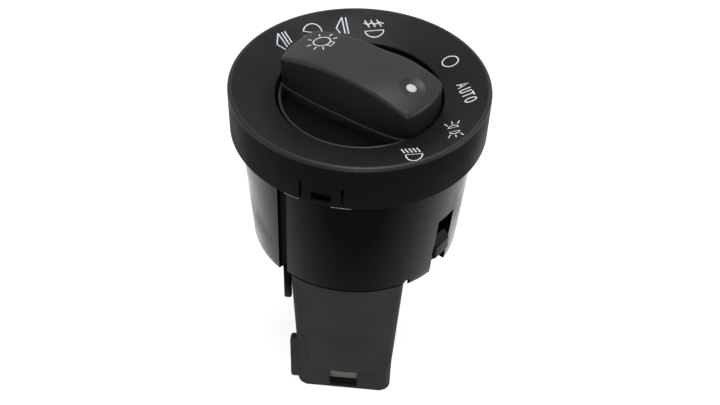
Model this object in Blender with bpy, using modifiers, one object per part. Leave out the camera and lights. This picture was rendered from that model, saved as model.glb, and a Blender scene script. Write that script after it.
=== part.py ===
"""A round dashboard headlight switch: a dished bezel with a pull-and-turn knob, a barrel housing that fills
the hole in the dashboard, and a rear housing whose tower ends in the plug socket. The inside holds the
turning contacts, the detent, the pulled fog lamp contact and the two sprung lugs that lock it in place.

The switch stands on the plug socket's end: +Z runs up the knob's axis and -Y is the side that faces the
driver's knees. Every size is in metres.
"""

import math

import bmesh
import bpy
from mathutils import Matrix, Vector

MM = 0.001

# Heights along the axis
TOWER_LENGTH = 53.0 * MM
BARREL_LENGTH = 39.5 * MM
RIM_HEIGHT = 14.5 * MM
DISH_DEPTH = 4.0 * MM
GRIP_CREST_RISE = 6.9 * MM

# The face's radius, and the millimetre across the axis that grows with it
BEZEL_RADIUS = 38.0 * MM
ACROSS = BEZEL_RADIUS / 38.0

# Gaps: one between pieces that sit on each other, one between pieces that run in each other
SEAT_GAP = 0.3 * MM
RUN_GAP = 0.2 * MM

# Bezel
BEZEL_WALL = 2.0 * MM
BEZEL_FILLET = 1.0 * MM
WELL_WALL = 1.6 * MM
WELL_DEPTH = 11.8 * MM
WELL_EDGE = 0.4 * MM
TONGUE_AZIMUTHS = (-100.5, 19.5, 139.5)
TONGUE_HALF_ANGLE = 9.0
TONGUE_SLOT_WIDTH = 0.9 * MM
TONGUE_SLOT_LENGTH = 7.0 * MM
CATCH_WINDOW_WIDTH = 5.6 * MM
CATCH_WINDOW_HEIGHT = 2.6 * MM
CATCH_WINDOW_RISE = 3.0 * MM
CATCH_CLEARANCE = 0.4 * MM

# Knob
KNOB_RADIUS = 23.7 * ACROSS
KNOB_CLEARANCE = 0.8 * MM
KNOB_WALL = 1.8 * MM
KNOB_SKIRT = 8.5 * MM
KNOB_EDGE = 0.4 * MM
DISC_DROP = 1.0 * MM
POINTER_AZIMUTH = -28.0
GRIP_TOP_HALF_WIDTH = 9.25 * ACROSS
GRIP_TOP_BOW = 0.5 * ACROSS
GRIP_FOOT_HALF_WIDTH = 10.4 * ACROSS
GRIP_FOOT_BOW = 2.4 * ACROSS
GRIP_ARCH_RADIUS = 66.0 * ACROSS
GRIP_CREST_OFFSET = -2.5 * ACROSS
GRIP_EDGE = 1.0 * MM
POCKET_DEPTH = 2.6 * MM
POCKET_RIM = 0.9 * MM
POCKET_FILLET = 1.5 * MM
DIMPLE_OFFSET = 16.7 * ACROSS
DIMPLE_RADIUS = 4.6 * MM
DIMPLE_DEPTH = 0.8 * MM
LENS_RADIUS = 1.4 * MM
LENS_LENGTH = 6.5 * MM
LENS_FLANGE = 0.8 * MM
LENS_DOME = 0.3 * MM
BOSS_RADIUS = 6.2 * ACROSS

# Knob's travel along the axis: two clicks out for the fog lamps, one push in to free the lugs
PULL_TRAVEL = 8.0 * MM
PUSH_TRAVEL = 2.5 * MM

# Shaft and rotor
SHAFT_WIDTH = 6.6 * MM
SHAFT_CHAMFER = 0.8 * MM
SOCKET_DEPTH = 7.5 * MM
SPOOL_RADIUS = 6.5 * ACROSS
SPOOL_FLANGE = 1.0 * MM
HUB_RADIUS = 7.2 * ACROSS
HUB_SHOULDER_RADIUS = 10.0 * ACROSS
ROTOR_THICKNESS = 2.2 * MM
STAR_RADIUS = 25.2 * ACROSS
STAR_DEPTH = 0.7 * MM
STAR_PITCH = 30.0
CLIP_THICKNESS = 0.9 * MM
CLIP_GROOVE = 0.6 * MM
CLIP_WIDTH = 2.6 * MM
CLIP_OPENING = 70.0

# Barrel housing
NECK_CLEARANCE = 1.0 * ACROSS
NECK_DROP = 8.5 * MM
BARREL_TAPER = 2.3 * ACROSS
NUB_LENGTH = 2.9 * MM
NUB_INSET = 1.1 * MM
FOOT_WALL = 2.1 * ACROSS
LEDGE_WIDTH = 1.4 * ACROSS
CARRIER_LEDGE_WIDTH = 1.2 * ACROSS
CARRIER_LEDGE_DROP = 5.6 * MM
LEDGE_SPACING = 12.3 * MM
GROOVE_AZIMUTH = -125.5
GROOVE_WIDTH = 2.4 * MM
GROOVE_DEPTH = 1.0 * MM
NOTCH_WIDTH = 1.4 * MM
NOTCH_HEIGHT = 0.8 * MM
FOOT_SKIRT = 1.3 * MM
FIN_LENGTH = 13.0 * MM
FIN_WIDTH = 1.9 * MM
FIN_DEPTH = 3.0 * MM

# Bearing plate, contact plate and boards
CARRIER_THICKNESS = 2.4 * MM
BEARING_WALL = 3.0 * MM
BEARING_RISE = 0.4 * MM
CONTACT_PLATE_THICKNESS = 1.6 * MM
CONTACT_PLATE_BORE = 19.3 * ACROSS
TRACK_COUNT = 3
FIRST_TRACK_RADIUS = 20.7 * ACROSS
TRACK_PITCH = 2.0 * ACROSS
TRACK_WIDTH = 1.0 * MM
TRACK_THICKNESS = 0.3 * MM
TRACK_ARC_ANGLE = 150.0
TRACK_AZIMUTH = 80.0
WIPER_THICKNESS = 0.25 * MM
WIPER_FOOT = 2.0 * MM
WIPER_REACH = 8.0 * MM
WIPER_NOSE = 0.8 * MM
WIPER_DROP = 2.3 * MM
BOARD_RADIUS = 24.0 * ACROSS
BOARD_THICKNESS = 1.6 * MM
BOARD_RISE = 1.0 * MM
BOARD_PAD_AZIMUTHS = (90.0, 215.0, 325.0)
BOARD_PAD_RADIUS = 2.0 * MM
BOARD_PAD_INSET = 4.0 * MM
LED_BOARD_INNER = 27.5 * ACROSS
LED_BOARD_THICKNESS = 1.2 * MM
LED_COUNT = 6
LED_SIZE = (3.0 * MM, 2.0 * MM, 1.2 * MM)
GUIDE_RING_CLEARANCE = 0.5 * MM
GUIDE_RING_FOOT_WIDTH = 3.6 * ACROSS

# Detent springs: a steel leaf on each side, whose nose drops into the rotor's scallops
DETENT_AZIMUTHS = (56.0, 236.0)
LEAF_THICKNESS = 0.4 * MM
LEAF_HEIGHT = 3.4 * MM
LEAF_HALF_SPAN = 9.0 * ACROSS
LEAF_NOSE_HALF_WIDTH = 2.8 * ACROSS
LEAF_STANDOFF = 3.0 * ACROSS
LEAF_POST_RADIUS = 1.0 * ACROSS
LEAF_POST_INSET = 1.5 * MM

# Fog lamp carriage, which the knob's spool lifts along two guide posts
CARRIAGE_THICKNESS = 1.6 * MM
CARRIAGE_LENGTH = 21.0 * ACROSS
CARRIAGE_REACH = 15.0 * ACROSS
CARRIAGE_HALF_WIDTH = 6.0 * MM
GUIDE_POST_RADIUS = 1.5 * MM
GUIDE_POST_REACH = 12.0 * ACROSS
GUIDE_POST_HALF_PITCH = 3.5 * MM
FOG_STRIP_THICKNESS = 0.4 * MM
FOG_STRIP_HALF_WIDTH = 2.5 * MM

# Sprung lugs that hold the switch in the dashboard
LUG_AZIMUTHS = (-33.5, 146.5)
LUG_WINDOW_WIDTH = 7.6 * MM
LUG_WINDOW_MARGIN = 0.2 * MM
LUG_CLEARANCE = 0.5 * MM
LUG_HEIGHT = 9.0 * MM
LUG_PROUD = 0.9 * MM
LUG_FLANGE_WIDTH = 10.0 * MM
LUG_FLANGE_THICKNESS = 0.9 * MM
LUG_TRAVEL = 2.5 * MM
LUG_SPRING_RADIUS = 1.8 * MM
LUG_SPRING_RISE = 6.2 * MM
SPRING_SEAT_THICKNESS = 1.6 * MM
SPRING_SEAT_WIDTH = 7.0 * MM
LUG_SPRING_LENGTH = 2.8 * MM
WIRE_RADIUS = 0.25 * MM

# Rear housing: plate, tower and plug socket
PLATE_THICKNESS = 2.4 * MM
PLATE_INSET = 0.8 * MM
NOSE_AZIMUTHS = (32.0, 88.0, 192.0)
NOSE_WIDTH = 4.0 * MM
NOSE_HEIGHT = 1.5 * MM
NOSE_LENGTH = 4.0 * MM
TOWER_TOP_HALF_WIDTH = 17.4 * ACROSS
TOWER_END_HALF_WIDTH = 15.1 * ACROSS
TOWER_FRONT_DRAFT = 0.5 * MM
TOWER_BACK = 6.5 * ACROSS
TOWER_BACK_DRAFT = 0.5 * MM
TOWER_FRONT_CORNER = 3.0 * MM
TOWER_BACK_CORNER = 2.0 * MM
TOWER_WALL = 1.8 * MM
FACET_HEIGHT = 11.3 * MM
FACET_HALF_WIDTH = 11.0 * ACROSS
LATCH_WINDOW_WIDTH = 9.2 * ACROSS
LATCH_WINDOW_BOTTOM = 1.3 * MM
LATCH_WINDOW_HEIGHT = 9.7 * MM
RIB_BOTTOM = 4.0 * MM
RIB_TOP = 24.5 * MM
RIB_PROUD = 1.9 * MM
RIB_DEPTH = 4.0 * MM
RIB_FRONT_INSET = 5.0 * MM
PASSAGE_HALF_WIDTH = 12.0 * ACROSS
PASSAGE_FRONT_Y = -22.0 * ACROSS
PASSAGE_BACK_Y = -5.6 * ACROSS
PASSAGE_LENGTH = 7.0 * MM

# Plug socket's inside
SOCKET_FLOOR = 22.0 * MM
SOCKET_CORNER = 1.5 * MM
BLOCK_THICKNESS = 6.0 * MM
TONGUE_PLATE_WIDTH = 10.4 * ACROSS
TONGUE_PLATE_THICKNESS = 1.0 * MM
TONGUE_PLATE_BOTTOM = 5.0 * MM
TERMINAL_WIDTH = 2.8 * MM
TERMINAL_THICKNESS = 0.8 * MM
TERMINAL_TIP = 10.0 * MM
TERMINAL_TAPER = 1.6 * MM
TERMINAL_PITCH = 5.0 * ACROSS
TERMINALS_IN_A_ROW = 5
FRONT_ROW_Y = -19.0 * ACROSS
BACK_ROW_Y = -7.0 * ACROSS
TERMINAL_GAP = 0.2 * MM

# Facets of the round shapes
RIM_STEPS = 72
SMALL_STEPS = 36
TINY_STEPS = 14
DIMPLE_STEPS = 24
GRIP_STATIONS = 16

# Heights worked out from the sizes above
BARREL_FOOT_Z = TOWER_LENGTH
RIM_FOOT_Z = BARREL_FOOT_Z + BARREL_LENGTH
RIM_TOP_Z = RIM_FOOT_Z + RIM_HEIGHT
FACE_EDGE_Z = RIM_TOP_Z - DISH_DEPTH
GRIP_CREST_Z = RIM_TOP_Z + GRIP_CREST_RISE
DISC_Z = FACE_EDGE_Z - DISC_DROP
POCKET_Z = DISC_Z - POCKET_DEPTH
SKIRT_FOOT_Z = DISC_Z - KNOB_SKIRT
CARRIER_LEDGE_Z = RIM_FOOT_Z - CARRIER_LEDGE_DROP
CONTACT_LEDGE_Z = CARRIER_LEDGE_Z - LEDGE_SPACING
NECK_TOP_Z = RIM_TOP_Z - NECK_DROP
CARRIER_Z = CARRIER_LEDGE_Z + SEAT_GAP
CARRIER_TOP_Z = CARRIER_Z + CARRIER_THICKNESS
BEARING_TOP_Z = CARRIER_TOP_Z + BEARING_RISE
CLIP_Z = BEARING_TOP_Z + SEAT_GAP
HUB_TOP_Z = CLIP_Z + CLIP_THICKNESS + 1.2 * MM
SHOULDER_Z = CARRIER_Z - SEAT_GAP
CONTACT_PLATE_Z = CONTACT_LEDGE_Z + SEAT_GAP
TRACK_Z = CONTACT_PLATE_Z + CONTACT_PLATE_THICKNESS + SEAT_GAP
TRACK_TOP_Z = TRACK_Z + TRACK_THICKNESS
ROTOR_Z = TRACK_TOP_Z + SEAT_GAP + WIPER_DROP + SEAT_GAP
PLATE_Z = BARREL_FOOT_Z + PLATE_INSET
PLATE_TOP_Z = PLATE_Z + PLATE_THICKNESS
BOARD_Z = PLATE_TOP_Z + BOARD_RISE
BOARD_TOP_Z = BOARD_Z + BOARD_THICKNESS
SPOOL_TOP_Z = ROTOR_Z - 0.5 * MM - PULL_TRAVEL
CARRIAGE_TOP_Z = SPOOL_TOP_Z - SPOOL_FLANGE - RUN_GAP
CARRIAGE_Z = CARRIAGE_TOP_Z - CARRIAGE_THICKNESS
SPOOL_FOOT_Z = CARRIAGE_Z - RUN_GAP - SPOOL_FLANGE
BOSS_FOOT_Z = HUB_TOP_Z + PUSH_TRAVEL + 0.5 * MM
SHAFT_TOP_Z = BOSS_FOOT_Z + SOCKET_DEPTH
LED_BOARD_Z = CARRIER_TOP_Z + SEAT_GAP
LED_Z = LED_BOARD_Z + LED_BOARD_THICKNESS + SEAT_GAP
LUG_Z = PLATE_TOP_Z + LUG_CLEARANCE
LUG_SPRING_Z = LUG_Z + LUG_SPRING_RISE
LEAF_Z = ROTOR_Z + (ROTOR_THICKNESS - LEAF_HEIGHT) / 2

# Radii worked out from the sizes above
WELL_RADIUS = KNOB_RADIUS + KNOB_CLEARANCE
WELL_OUTER_RADIUS = WELL_RADIUS + WELL_WALL
SKIRT_INNER_RADIUS = BEZEL_RADIUS - BEZEL_WALL
BARREL_TOP_RADIUS = SKIRT_INNER_RADIUS - NECK_CLEARANCE
BARREL_FOOT_RADIUS = BARREL_TOP_RADIUS - BARREL_TAPER
FOOT_BORE = BARREL_FOOT_RADIUS - FOOT_WALL
MIDDLE_BORE = FOOT_BORE + LEDGE_WIDTH
NECK_BORE = MIDDLE_BORE + CARRIER_LEDGE_WIDTH
PLATE_RADIUS = FOOT_BORE - SEAT_GAP
CONTACT_PLATE_RADIUS = MIDDLE_BORE - SEAT_GAP
CARRIER_RADIUS = NECK_BORE - SEAT_GAP
BEARING_BORE = HUB_RADIUS + RUN_GAP / 2
SOCKET_WIDTH = SHAFT_WIDTH + 2 * RUN_GAP
TOWER_FRONT_RADIUS = BARREL_FOOT_RADIUS - 0.2 * MM
FACET_Y = -math.sqrt((TOWER_FRONT_RADIUS - TOWER_FRONT_DRAFT) ** 2 - FACET_HALF_WIDTH**2)
SOCKET_FRONT_Y = FACET_Y + TOWER_WALL + 0.1 * MM
SOCKET_BACK_Y = TOWER_BACK - TOWER_BACK_DRAFT - TOWER_WALL
LUG_FLANGE_OUTER = math.sqrt((FOOT_BORE - SEAT_GAP) ** 2 - (LUG_FLANGE_WIDTH / 2) ** 2)
LUG_FLANGE_INNER = LUG_FLANGE_OUTER - LUG_FLANGE_THICKNESS
SPRING_SEAT_RADIUS = LUG_FLANGE_INNER - LUG_TRAVEL - LUG_SPRING_LENGTH
LEAF_END_RADIUS = STAR_RADIUS - STAR_DEPTH + SEAT_GAP + LEAF_STANDOFF
GUIDE_POSTS = [(GUIDE_POST_REACH, side * GUIDE_POST_HALF_PITCH) for side in (-1, 1)]
CUT = 5.0 * MM

for leftover in list(bpy.data.objects):
    bpy.data.objects.remove(leftover, do_unlink=True)

PARTS = bpy.data.collections.new("headlight_switch")
CUTTERS = bpy.data.collections.new("cutters")
bpy.context.scene.collection.children.link(PARTS)
bpy.context.scene.collection.children.link(CUTTERS)
CUTTERS.hide_render = True


def finish(name, colour, roughness, metallic=0.0, transmission=0.0):
    """A plain material with the piece's colour."""
    material = bpy.data.materials.new(name)
    material.use_nodes = True
    shader = material.node_tree.nodes["Principled BSDF"]
    shader.inputs["Base Color"].default_value = (*colour, 1.0)
    shader.inputs["Roughness"].default_value = roughness
    shader.inputs["Metallic"].default_value = metallic
    shader.inputs["Transmission Weight"].default_value = transmission
    return material


def place(name, mesh, material=None):
    """A piece of the switch, or a helper shape when no material is given."""
    obj = bpy.data.objects.new(name, mesh)
    if material is None:
        obj.hide_render = True
        obj.display_type = "WIRE"
        CUTTERS.objects.link(obj)
        return obj
    mesh.materials.append(material)
    PARTS.objects.link(obj)
    return obj


def mesh_of(name, bm, smooth=False):
    """The mesh that a bmesh holds, with its faces pointing out."""
    bmesh.ops.recalc_face_normals(bm, faces=bm.faces)
    mesh = bpy.data.meshes.new(name)
    bm.to_mesh(mesh)
    bm.free()
    if smooth:
        mesh.shade_smooth()
        mesh.set_sharp_from_angle(angle=math.radians(30))
    return mesh


def polar(radius, azimuth, height=0.0):
    """A point given by its radius and its azimuth in degrees."""
    turn = math.radians(azimuth)
    return Vector((radius * math.cos(turn), radius * math.sin(turn), height))


def turned(name, profile, material=None, steps=RIM_STEPS):
    """A turned piece: the profile is a list of (radius, height) that runs down its outer side."""
    closed = min(radius for radius, height in profile) > 0
    mesh = bpy.data.meshes.new(name)
    count = len(profile)
    edges = [(i, (i + 1) % count) for i in range(count if closed else count - 1)]
    mesh.from_pydata([(radius, 0.0, height) for radius, height in profile], edges, [])
    obj = place(name, mesh, material)
    screw = obj.modifiers.new("turn", "SCREW")
    screw.steps = steps
    screw.render_steps = steps
    screw.use_merge_vertices = True
    screw.merge_threshold = 0.000001
    screw.use_smooth_shade = True
    return obj


def cylinder(name, radius, bottom, top, material=None, steps=SMALL_STEPS):
    """A round bar along the axis."""
    return turned(name, [(0.0, top), (radius, top), (radius, bottom), (0.0, bottom)], material, steps)


def flat_mesh(name, outlines, thickness):
    """A plate cut to an outline, with any further outlines as holes, from z = 0 up."""
    curve = bpy.data.curves.new(name, "CURVE")
    curve.dimensions = "2D"
    curve.fill_mode = "BOTH"
    curve.extrude = thickness / 2
    for outline in outlines:
        spline = curve.splines.new("POLY")
        spline.points.add(len(outline) - 1)
        for point, (x, y) in zip(spline.points, outline):
            point.co = (x, y, 0.0, 1.0)
        spline.use_cyclic_u = True
    guide = bpy.data.objects.new(name, curve)
    CUTTERS.objects.link(guide)
    bpy.context.view_layer.update()
    drawn = guide.evaluated_get(bpy.context.evaluated_depsgraph_get())
    mesh = bpy.data.meshes.new_from_object(drawn)
    bpy.data.objects.remove(guide, do_unlink=True)
    bpy.data.curves.remove(curve)
    bm = bmesh.new()
    bm.from_mesh(mesh)
    bmesh.ops.remove_doubles(bm, verts=bm.verts, dist=0.000001)
    bmesh.ops.translate(bm, vec=(0.0, 0.0, thickness / 2), verts=bm.verts)
    bpy.data.meshes.remove(mesh)
    return mesh_of(name, bm)


def plate(name, outlines, bottom, top, material=None):
    """A flat piece between two heights."""
    obj = place(name, flat_mesh(name, outlines, top - bottom), material)
    obj.location.z = bottom
    return obj


def circle(radius, steps=SMALL_STEPS, x=0.0, y=0.0):
    """A round outline."""
    turns = [2 * math.pi * step / steps for step in range(steps)]
    return [(x + radius * math.cos(turn), y + radius * math.sin(turn)) for turn in turns]


def rectangle(half_width, half_depth, x=0.0, y=0.0, chamfer=0.0):
    """A rectangular outline with chamfered corners."""
    if chamfer == 0.0:
        corners = [(1, 1), (-1, 1), (-1, -1), (1, -1)]
        return [(x + i * half_width, y + j * half_depth) for i, j in corners]
    points = []
    for i, j, first in ((1, 1, True), (-1, 1, False), (-1, -1, True), (1, -1, False)):
        side = (x + i * half_width, y + j * (half_depth - chamfer))
        end = (x + i * (half_width - chamfer), y + j * half_depth)
        points += [side, end] if first else [end, side]
    return points


def blocks(name, items, material=None):
    """Boxes in one mesh, each (size, centre, azimuth in degrees), with the centre turned by the azimuth."""
    bm = bmesh.new()
    for size, centre, azimuth in items:
        turn = Matrix.Rotation(math.radians(azimuth), 4, "Z")
        frame = turn @ Matrix.Translation(centre) @ Matrix.Diagonal((*size, 1.0))
        bmesh.ops.create_cube(bm, size=1.0, matrix=frame)
    return place(name, mesh_of(name, bm), material)


def joined(target, other, operation):
    """Cuts, joins or intersects two shapes, leaving the result on the first."""
    step = target.modifiers.new(other.name, "BOOLEAN")
    step.operation = operation
    step.solver = "EXACT"
    step.object = other
    return target


def strip_mesh(name, path, thickness, width):
    """A bent strip of sheet: the path is drawn in X and Y, and the strip's width stands along Z."""
    left, right = [], []
    for index, point in enumerate(path):
        before = Vector(path[max(index - 1, 0)])
        after = Vector(path[min(index + 1, len(path) - 1)])
        along = (after - before).normalized()
        side = Vector((-along.y, along.x)) * thickness / 2
        left.append(tuple(Vector(point) + side))
        right.append(tuple(Vector(point) - side))
    return flat_mesh(name, [left + right[::-1]], width)


def coil(name, radius, height, turns, material):
    """A spring of round wire, standing on z = 0."""
    points_in_a_turn = 9
    count = round(turns * points_in_a_turn)
    curve = bpy.data.curves.new(name, "CURVE")
    curve.dimensions = "3D"
    curve.bevel_depth = WIRE_RADIUS
    curve.bevel_resolution = 1
    curve.use_fill_caps = True
    spline = curve.splines.new("POLY")
    spline.points.add(count)
    rise = height - 2 * WIRE_RADIUS
    for index, point in enumerate(spline.points):
        x, y, z = polar(radius, 360.0 * index / points_in_a_turn, WIRE_RADIUS + rise * index / count)
        point.co = (x, y, z, 1.0)
    obj = bpy.data.objects.new(name, curve)
    curve.materials.append(material)
    PARTS.objects.link(obj)
    return obj


def grip_arch(u, below=0.0):
    """Height of the grip's arched top, at a distance along the grip from the axis."""
    radius = GRIP_ARCH_RADIUS - below
    drop = GRIP_ARCH_RADIUS - math.sqrt(radius**2 - (u - GRIP_CREST_OFFSET) ** 2)
    return GRIP_CREST_Z - drop


def grip_block(name, inset, foot, edge):
    """The grip as a long block before its ends are rounded off, or the hollow inside it."""
    rows = 8
    reach = KNOB_RADIUS + CUT
    bm = bmesh.new()
    bmesh.ops.create_grid(bm, x_segments=GRIP_STATIONS, y_segments=rows - 1, size=1.0)
    grid = {}
    for vert in bm.verts:
        column = round((vert.co.x + 1.0) / 2 * GRIP_STATIONS)
        row = round((vert.co.y + 1.0) / 2 * (rows - 1))
        grid[column, row] = vert
    for (column, row), vert in grid.items():
        u = (2 * column / GRIP_STATIONS - 1) * reach
        share = (u / KNOB_RADIUS) ** 2
        top_width = GRIP_TOP_HALF_WIDTH - GRIP_TOP_BOW * share - inset
        foot_width = GRIP_FOOT_HALF_WIDTH - GRIP_FOOT_BOW * share - inset
        top = grip_arch(u, inset)
        fall = 0.3 * edge
        section = [(foot_width, foot), (top_width, top - edge), (top_width - fall, top - fall)]
        section.append((top_width - edge, top))
        half, height = section[min(row, rows - 1 - row)]
        vert.co = (u, half if row >= rows / 2 else -half, height)
    bm.faces.new([grid[0, row] for row in range(rows)])
    bm.faces.new([grid[GRIP_STATIONS, row] for row in range(rows)])
    near = [grid[column, 0] for column in range(GRIP_STATIONS + 1)]
    far = [grid[column, rows - 1] for column in range(GRIP_STATIONS + 1)]
    bm.faces.new(near + far[::-1])
    return place(name, mesh_of(name, bm))


def pegs(name, spots, radius, bottom, top, material=None):
    """Round pegs of one size at several places, each (x, y)."""
    bm = bmesh.new()
    for x, y in spots:
        middle = Matrix.Translation((x, y, (bottom + top) / 2))
        bmesh.ops.create_cone(
            bm,
            cap_ends=True,
            segments=TINY_STEPS,
            radius1=radius,
            radius2=radius,
            depth=top - bottom,
            matrix=middle,
        )
    return place(name, mesh_of(name, bm), material)


def on_edge(mesh, width):
    """Stands a flat mesh on edge: what was drawn in X and Y lies in X and Z, centred on Y = 0."""
    mesh.transform(Matrix.Translation((0.0, width / 2, 0.0)) @ Matrix.Rotation(math.pi / 2, 4, "X"))
    return mesh


def loft(name, lower, lower_z, upper, upper_z, material=None):
    """A solid between two outlines with as many points each."""
    bm = bmesh.new()
    edges = []
    for outline, height in ((lower, lower_z), (upper, upper_z)):
        face = bm.faces.new([bm.verts.new((x, y, height)) for x, y in outline])
        edges += face.edges
    bmesh.ops.bridge_loops(bm, edges=edges)
    bmesh.ops.triangulate(bm, faces=bm.faces)
    return place(name, mesh_of(name, bm), material)


def ring_sector(azimuth, inner, outer, half_angle, steps=14):
    """The outline of an arc-shaped strip."""
    turns = [azimuth - half_angle + 2 * half_angle * step / steps for step in range(steps + 1)]
    points = [polar(outer, turn) for turn in turns] + [polar(inner, turn) for turn in reversed(turns)]
    return [(point.x, point.y) for point in points]


def dish_tilt():
    """The slope of the dished face: a line from the well's edge that touches the rim's fillet."""
    run = BEZEL_RADIUS - BEZEL_FILLET - (WELL_RADIUS + WELL_EDGE)
    rise = RIM_TOP_Z - BEZEL_FILLET - FACE_EDGE_Z
    return math.atan2(rise, run) + math.asin(BEZEL_FILLET / math.hypot(run, rise))


def face_height(radius, below=0.0):
    """Height of the dished face at a radius, or of a surface that lies under it."""
    slope = dish_tilt()
    level = FACE_EDGE_Z + (radius - WELL_RADIUS - WELL_EDGE) * math.tan(slope)
    return level - below / math.cos(slope)


def barrel_radius(height):
    """The barrel's outer radius at a height, with its draft."""
    share = (height - BARREL_FOOT_Z) / BARREL_LENGTH
    return BARREL_FOOT_RADIUS + (BARREL_TOP_RADIUS - BARREL_FOOT_RADIUS) * share


def tower_outline(half_width, front_radius, back):
    """The tower's section: a front that follows the barrel, straight sides and rounded corners."""
    corner_x = half_width - TOWER_FRONT_CORNER
    corner_y = -math.sqrt((front_radius - TOWER_FRONT_CORNER) ** 2 - corner_x**2)
    meeting = math.degrees(math.atan2(corner_y, corner_x))
    right = [polar(front_radius, -90 + (meeting + 90) * step / 6) for step in range(7)]
    front_corner = Vector((corner_x, corner_y, 0.0))
    right += [front_corner + polar(TOWER_FRONT_CORNER, meeting * (3 - step) / 3) for step in (1, 2, 3)]
    back_corner = Vector((half_width - TOWER_BACK_CORNER, back - TOWER_BACK_CORNER, 0.0))
    right += [back_corner + polar(TOWER_BACK_CORNER, 30 * step) for step in range(4)]
    left = [Vector((-point.x, point.y, 0.0)) for point in reversed(right[1:])]
    return [(point.x, point.y) for point in right + left]


def socket_half_width(height):
    """Half the width of the hollow in the tapered tower."""
    share = height / TOWER_LENGTH
    return TOWER_END_HALF_WIDTH + (TOWER_TOP_HALF_WIDTH - TOWER_END_HALF_WIDTH) * share - TOWER_WALL


def socket_outline(height, gap=0.0):
    """The section of the plug socket, or of what fits in it."""
    half_depth = (SOCKET_BACK_Y - SOCKET_FRONT_Y) / 2
    middle = (SOCKET_BACK_Y + SOCKET_FRONT_Y) / 2
    return rectangle(socket_half_width(height) - gap, half_depth - gap, 0.0, middle, SOCKET_CORNER)


SOFT_BLACK = finish("soft_black_plastic", (0.035, 0.035, 0.038), 0.5)
GRIP_BLACK = finish("grip_black_plastic", (0.045, 0.045, 0.047), 0.45)
GLOSS_BLACK = finish("gloss_black_plastic", (0.012, 0.012, 0.013), 0.15)
SHELL_GREY = finish("dark_grey_plastic", (0.05, 0.05, 0.052), 0.6)
BLOCK_GREY = finish("brown_grey_plastic", (0.2, 0.18, 0.16), 0.6)
WHITE_PLASTIC = finish("white_plastic", (0.75, 0.75, 0.73), 0.4)
CLEAR_PLASTIC = finish("milky_plastic", (0.85, 0.87, 0.88), 0.25, transmission=0.5)
LENS_WHITE = finish("lens_white", (0.85, 0.85, 0.85), 0.3)
SPRING_STEEL = finish("spring_steel", (0.6, 0.6, 0.6), 0.3, 1.0)
CONTACT_COPPER = finish("contact_copper", (0.8, 0.45, 0.25), 0.3, 1.0)
TINNED_COPPER = finish("tinned_copper", (0.7, 0.7, 0.68), 0.3, 1.0)
BOARD_GREEN = finish("board_green", (0.03, 0.16, 0.07), 0.4)


def make_bezel():
    """The round face: a dished ring with a hollow rim, a well for the knob and three snap tongues."""
    slope = dish_tilt()
    fillet = Vector((BEZEL_RADIUS - BEZEL_FILLET, RIM_TOP_Z - BEZEL_FILLET))
    arc = [math.radians(90) + slope - step * (math.radians(90) + slope) / 4 for step in range(5)]
    profile = [(fillet.x + BEZEL_FILLET * math.cos(a), fillet.y + BEZEL_FILLET * math.sin(a)) for a in arc]
    profile += [(BEZEL_RADIUS, RIM_FOOT_Z), (SKIRT_INNER_RADIUS, RIM_FOOT_Z)]
    profile += [(SKIRT_INNER_RADIUS, face_height(SKIRT_INNER_RADIUS, BEZEL_WALL))]
    profile += [(WELL_OUTER_RADIUS, face_height(WELL_OUTER_RADIUS, BEZEL_WALL))]
    profile += [(WELL_OUTER_RADIUS, FACE_EDGE_Z - WELL_DEPTH), (WELL_RADIUS, FACE_EDGE_Z - WELL_DEPTH)]
    profile += [(WELL_RADIUS, FACE_EDGE_Z - WELL_EDGE), (WELL_RADIUS + WELL_EDGE, FACE_EDGE_Z)]
    bezel = turned("face_bezel", profile, SOFT_BLACK)
    middle = BEZEL_RADIUS - BEZEL_WALL / 2
    through = 2 * BEZEL_WALL
    slot = (through, TONGUE_SLOT_WIDTH, 2 * TONGUE_SLOT_LENGTH)
    window = (through, CATCH_WINDOW_WIDTH, CATCH_WINDOW_HEIGHT)
    items = []
    for azimuth in TONGUE_AZIMUTHS:
        for side in (-1, 1):
            items.append((slot, (middle, 0.0, RIM_FOOT_Z), azimuth + side * TONGUE_HALF_ANGLE))
        items.append((window, (middle, 0.0, RIM_FOOT_Z + CATCH_WINDOW_RISE), azimuth))
    return joined(bezel, blocks("tongue_cuts", items), "DIFFERENCE")


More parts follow.
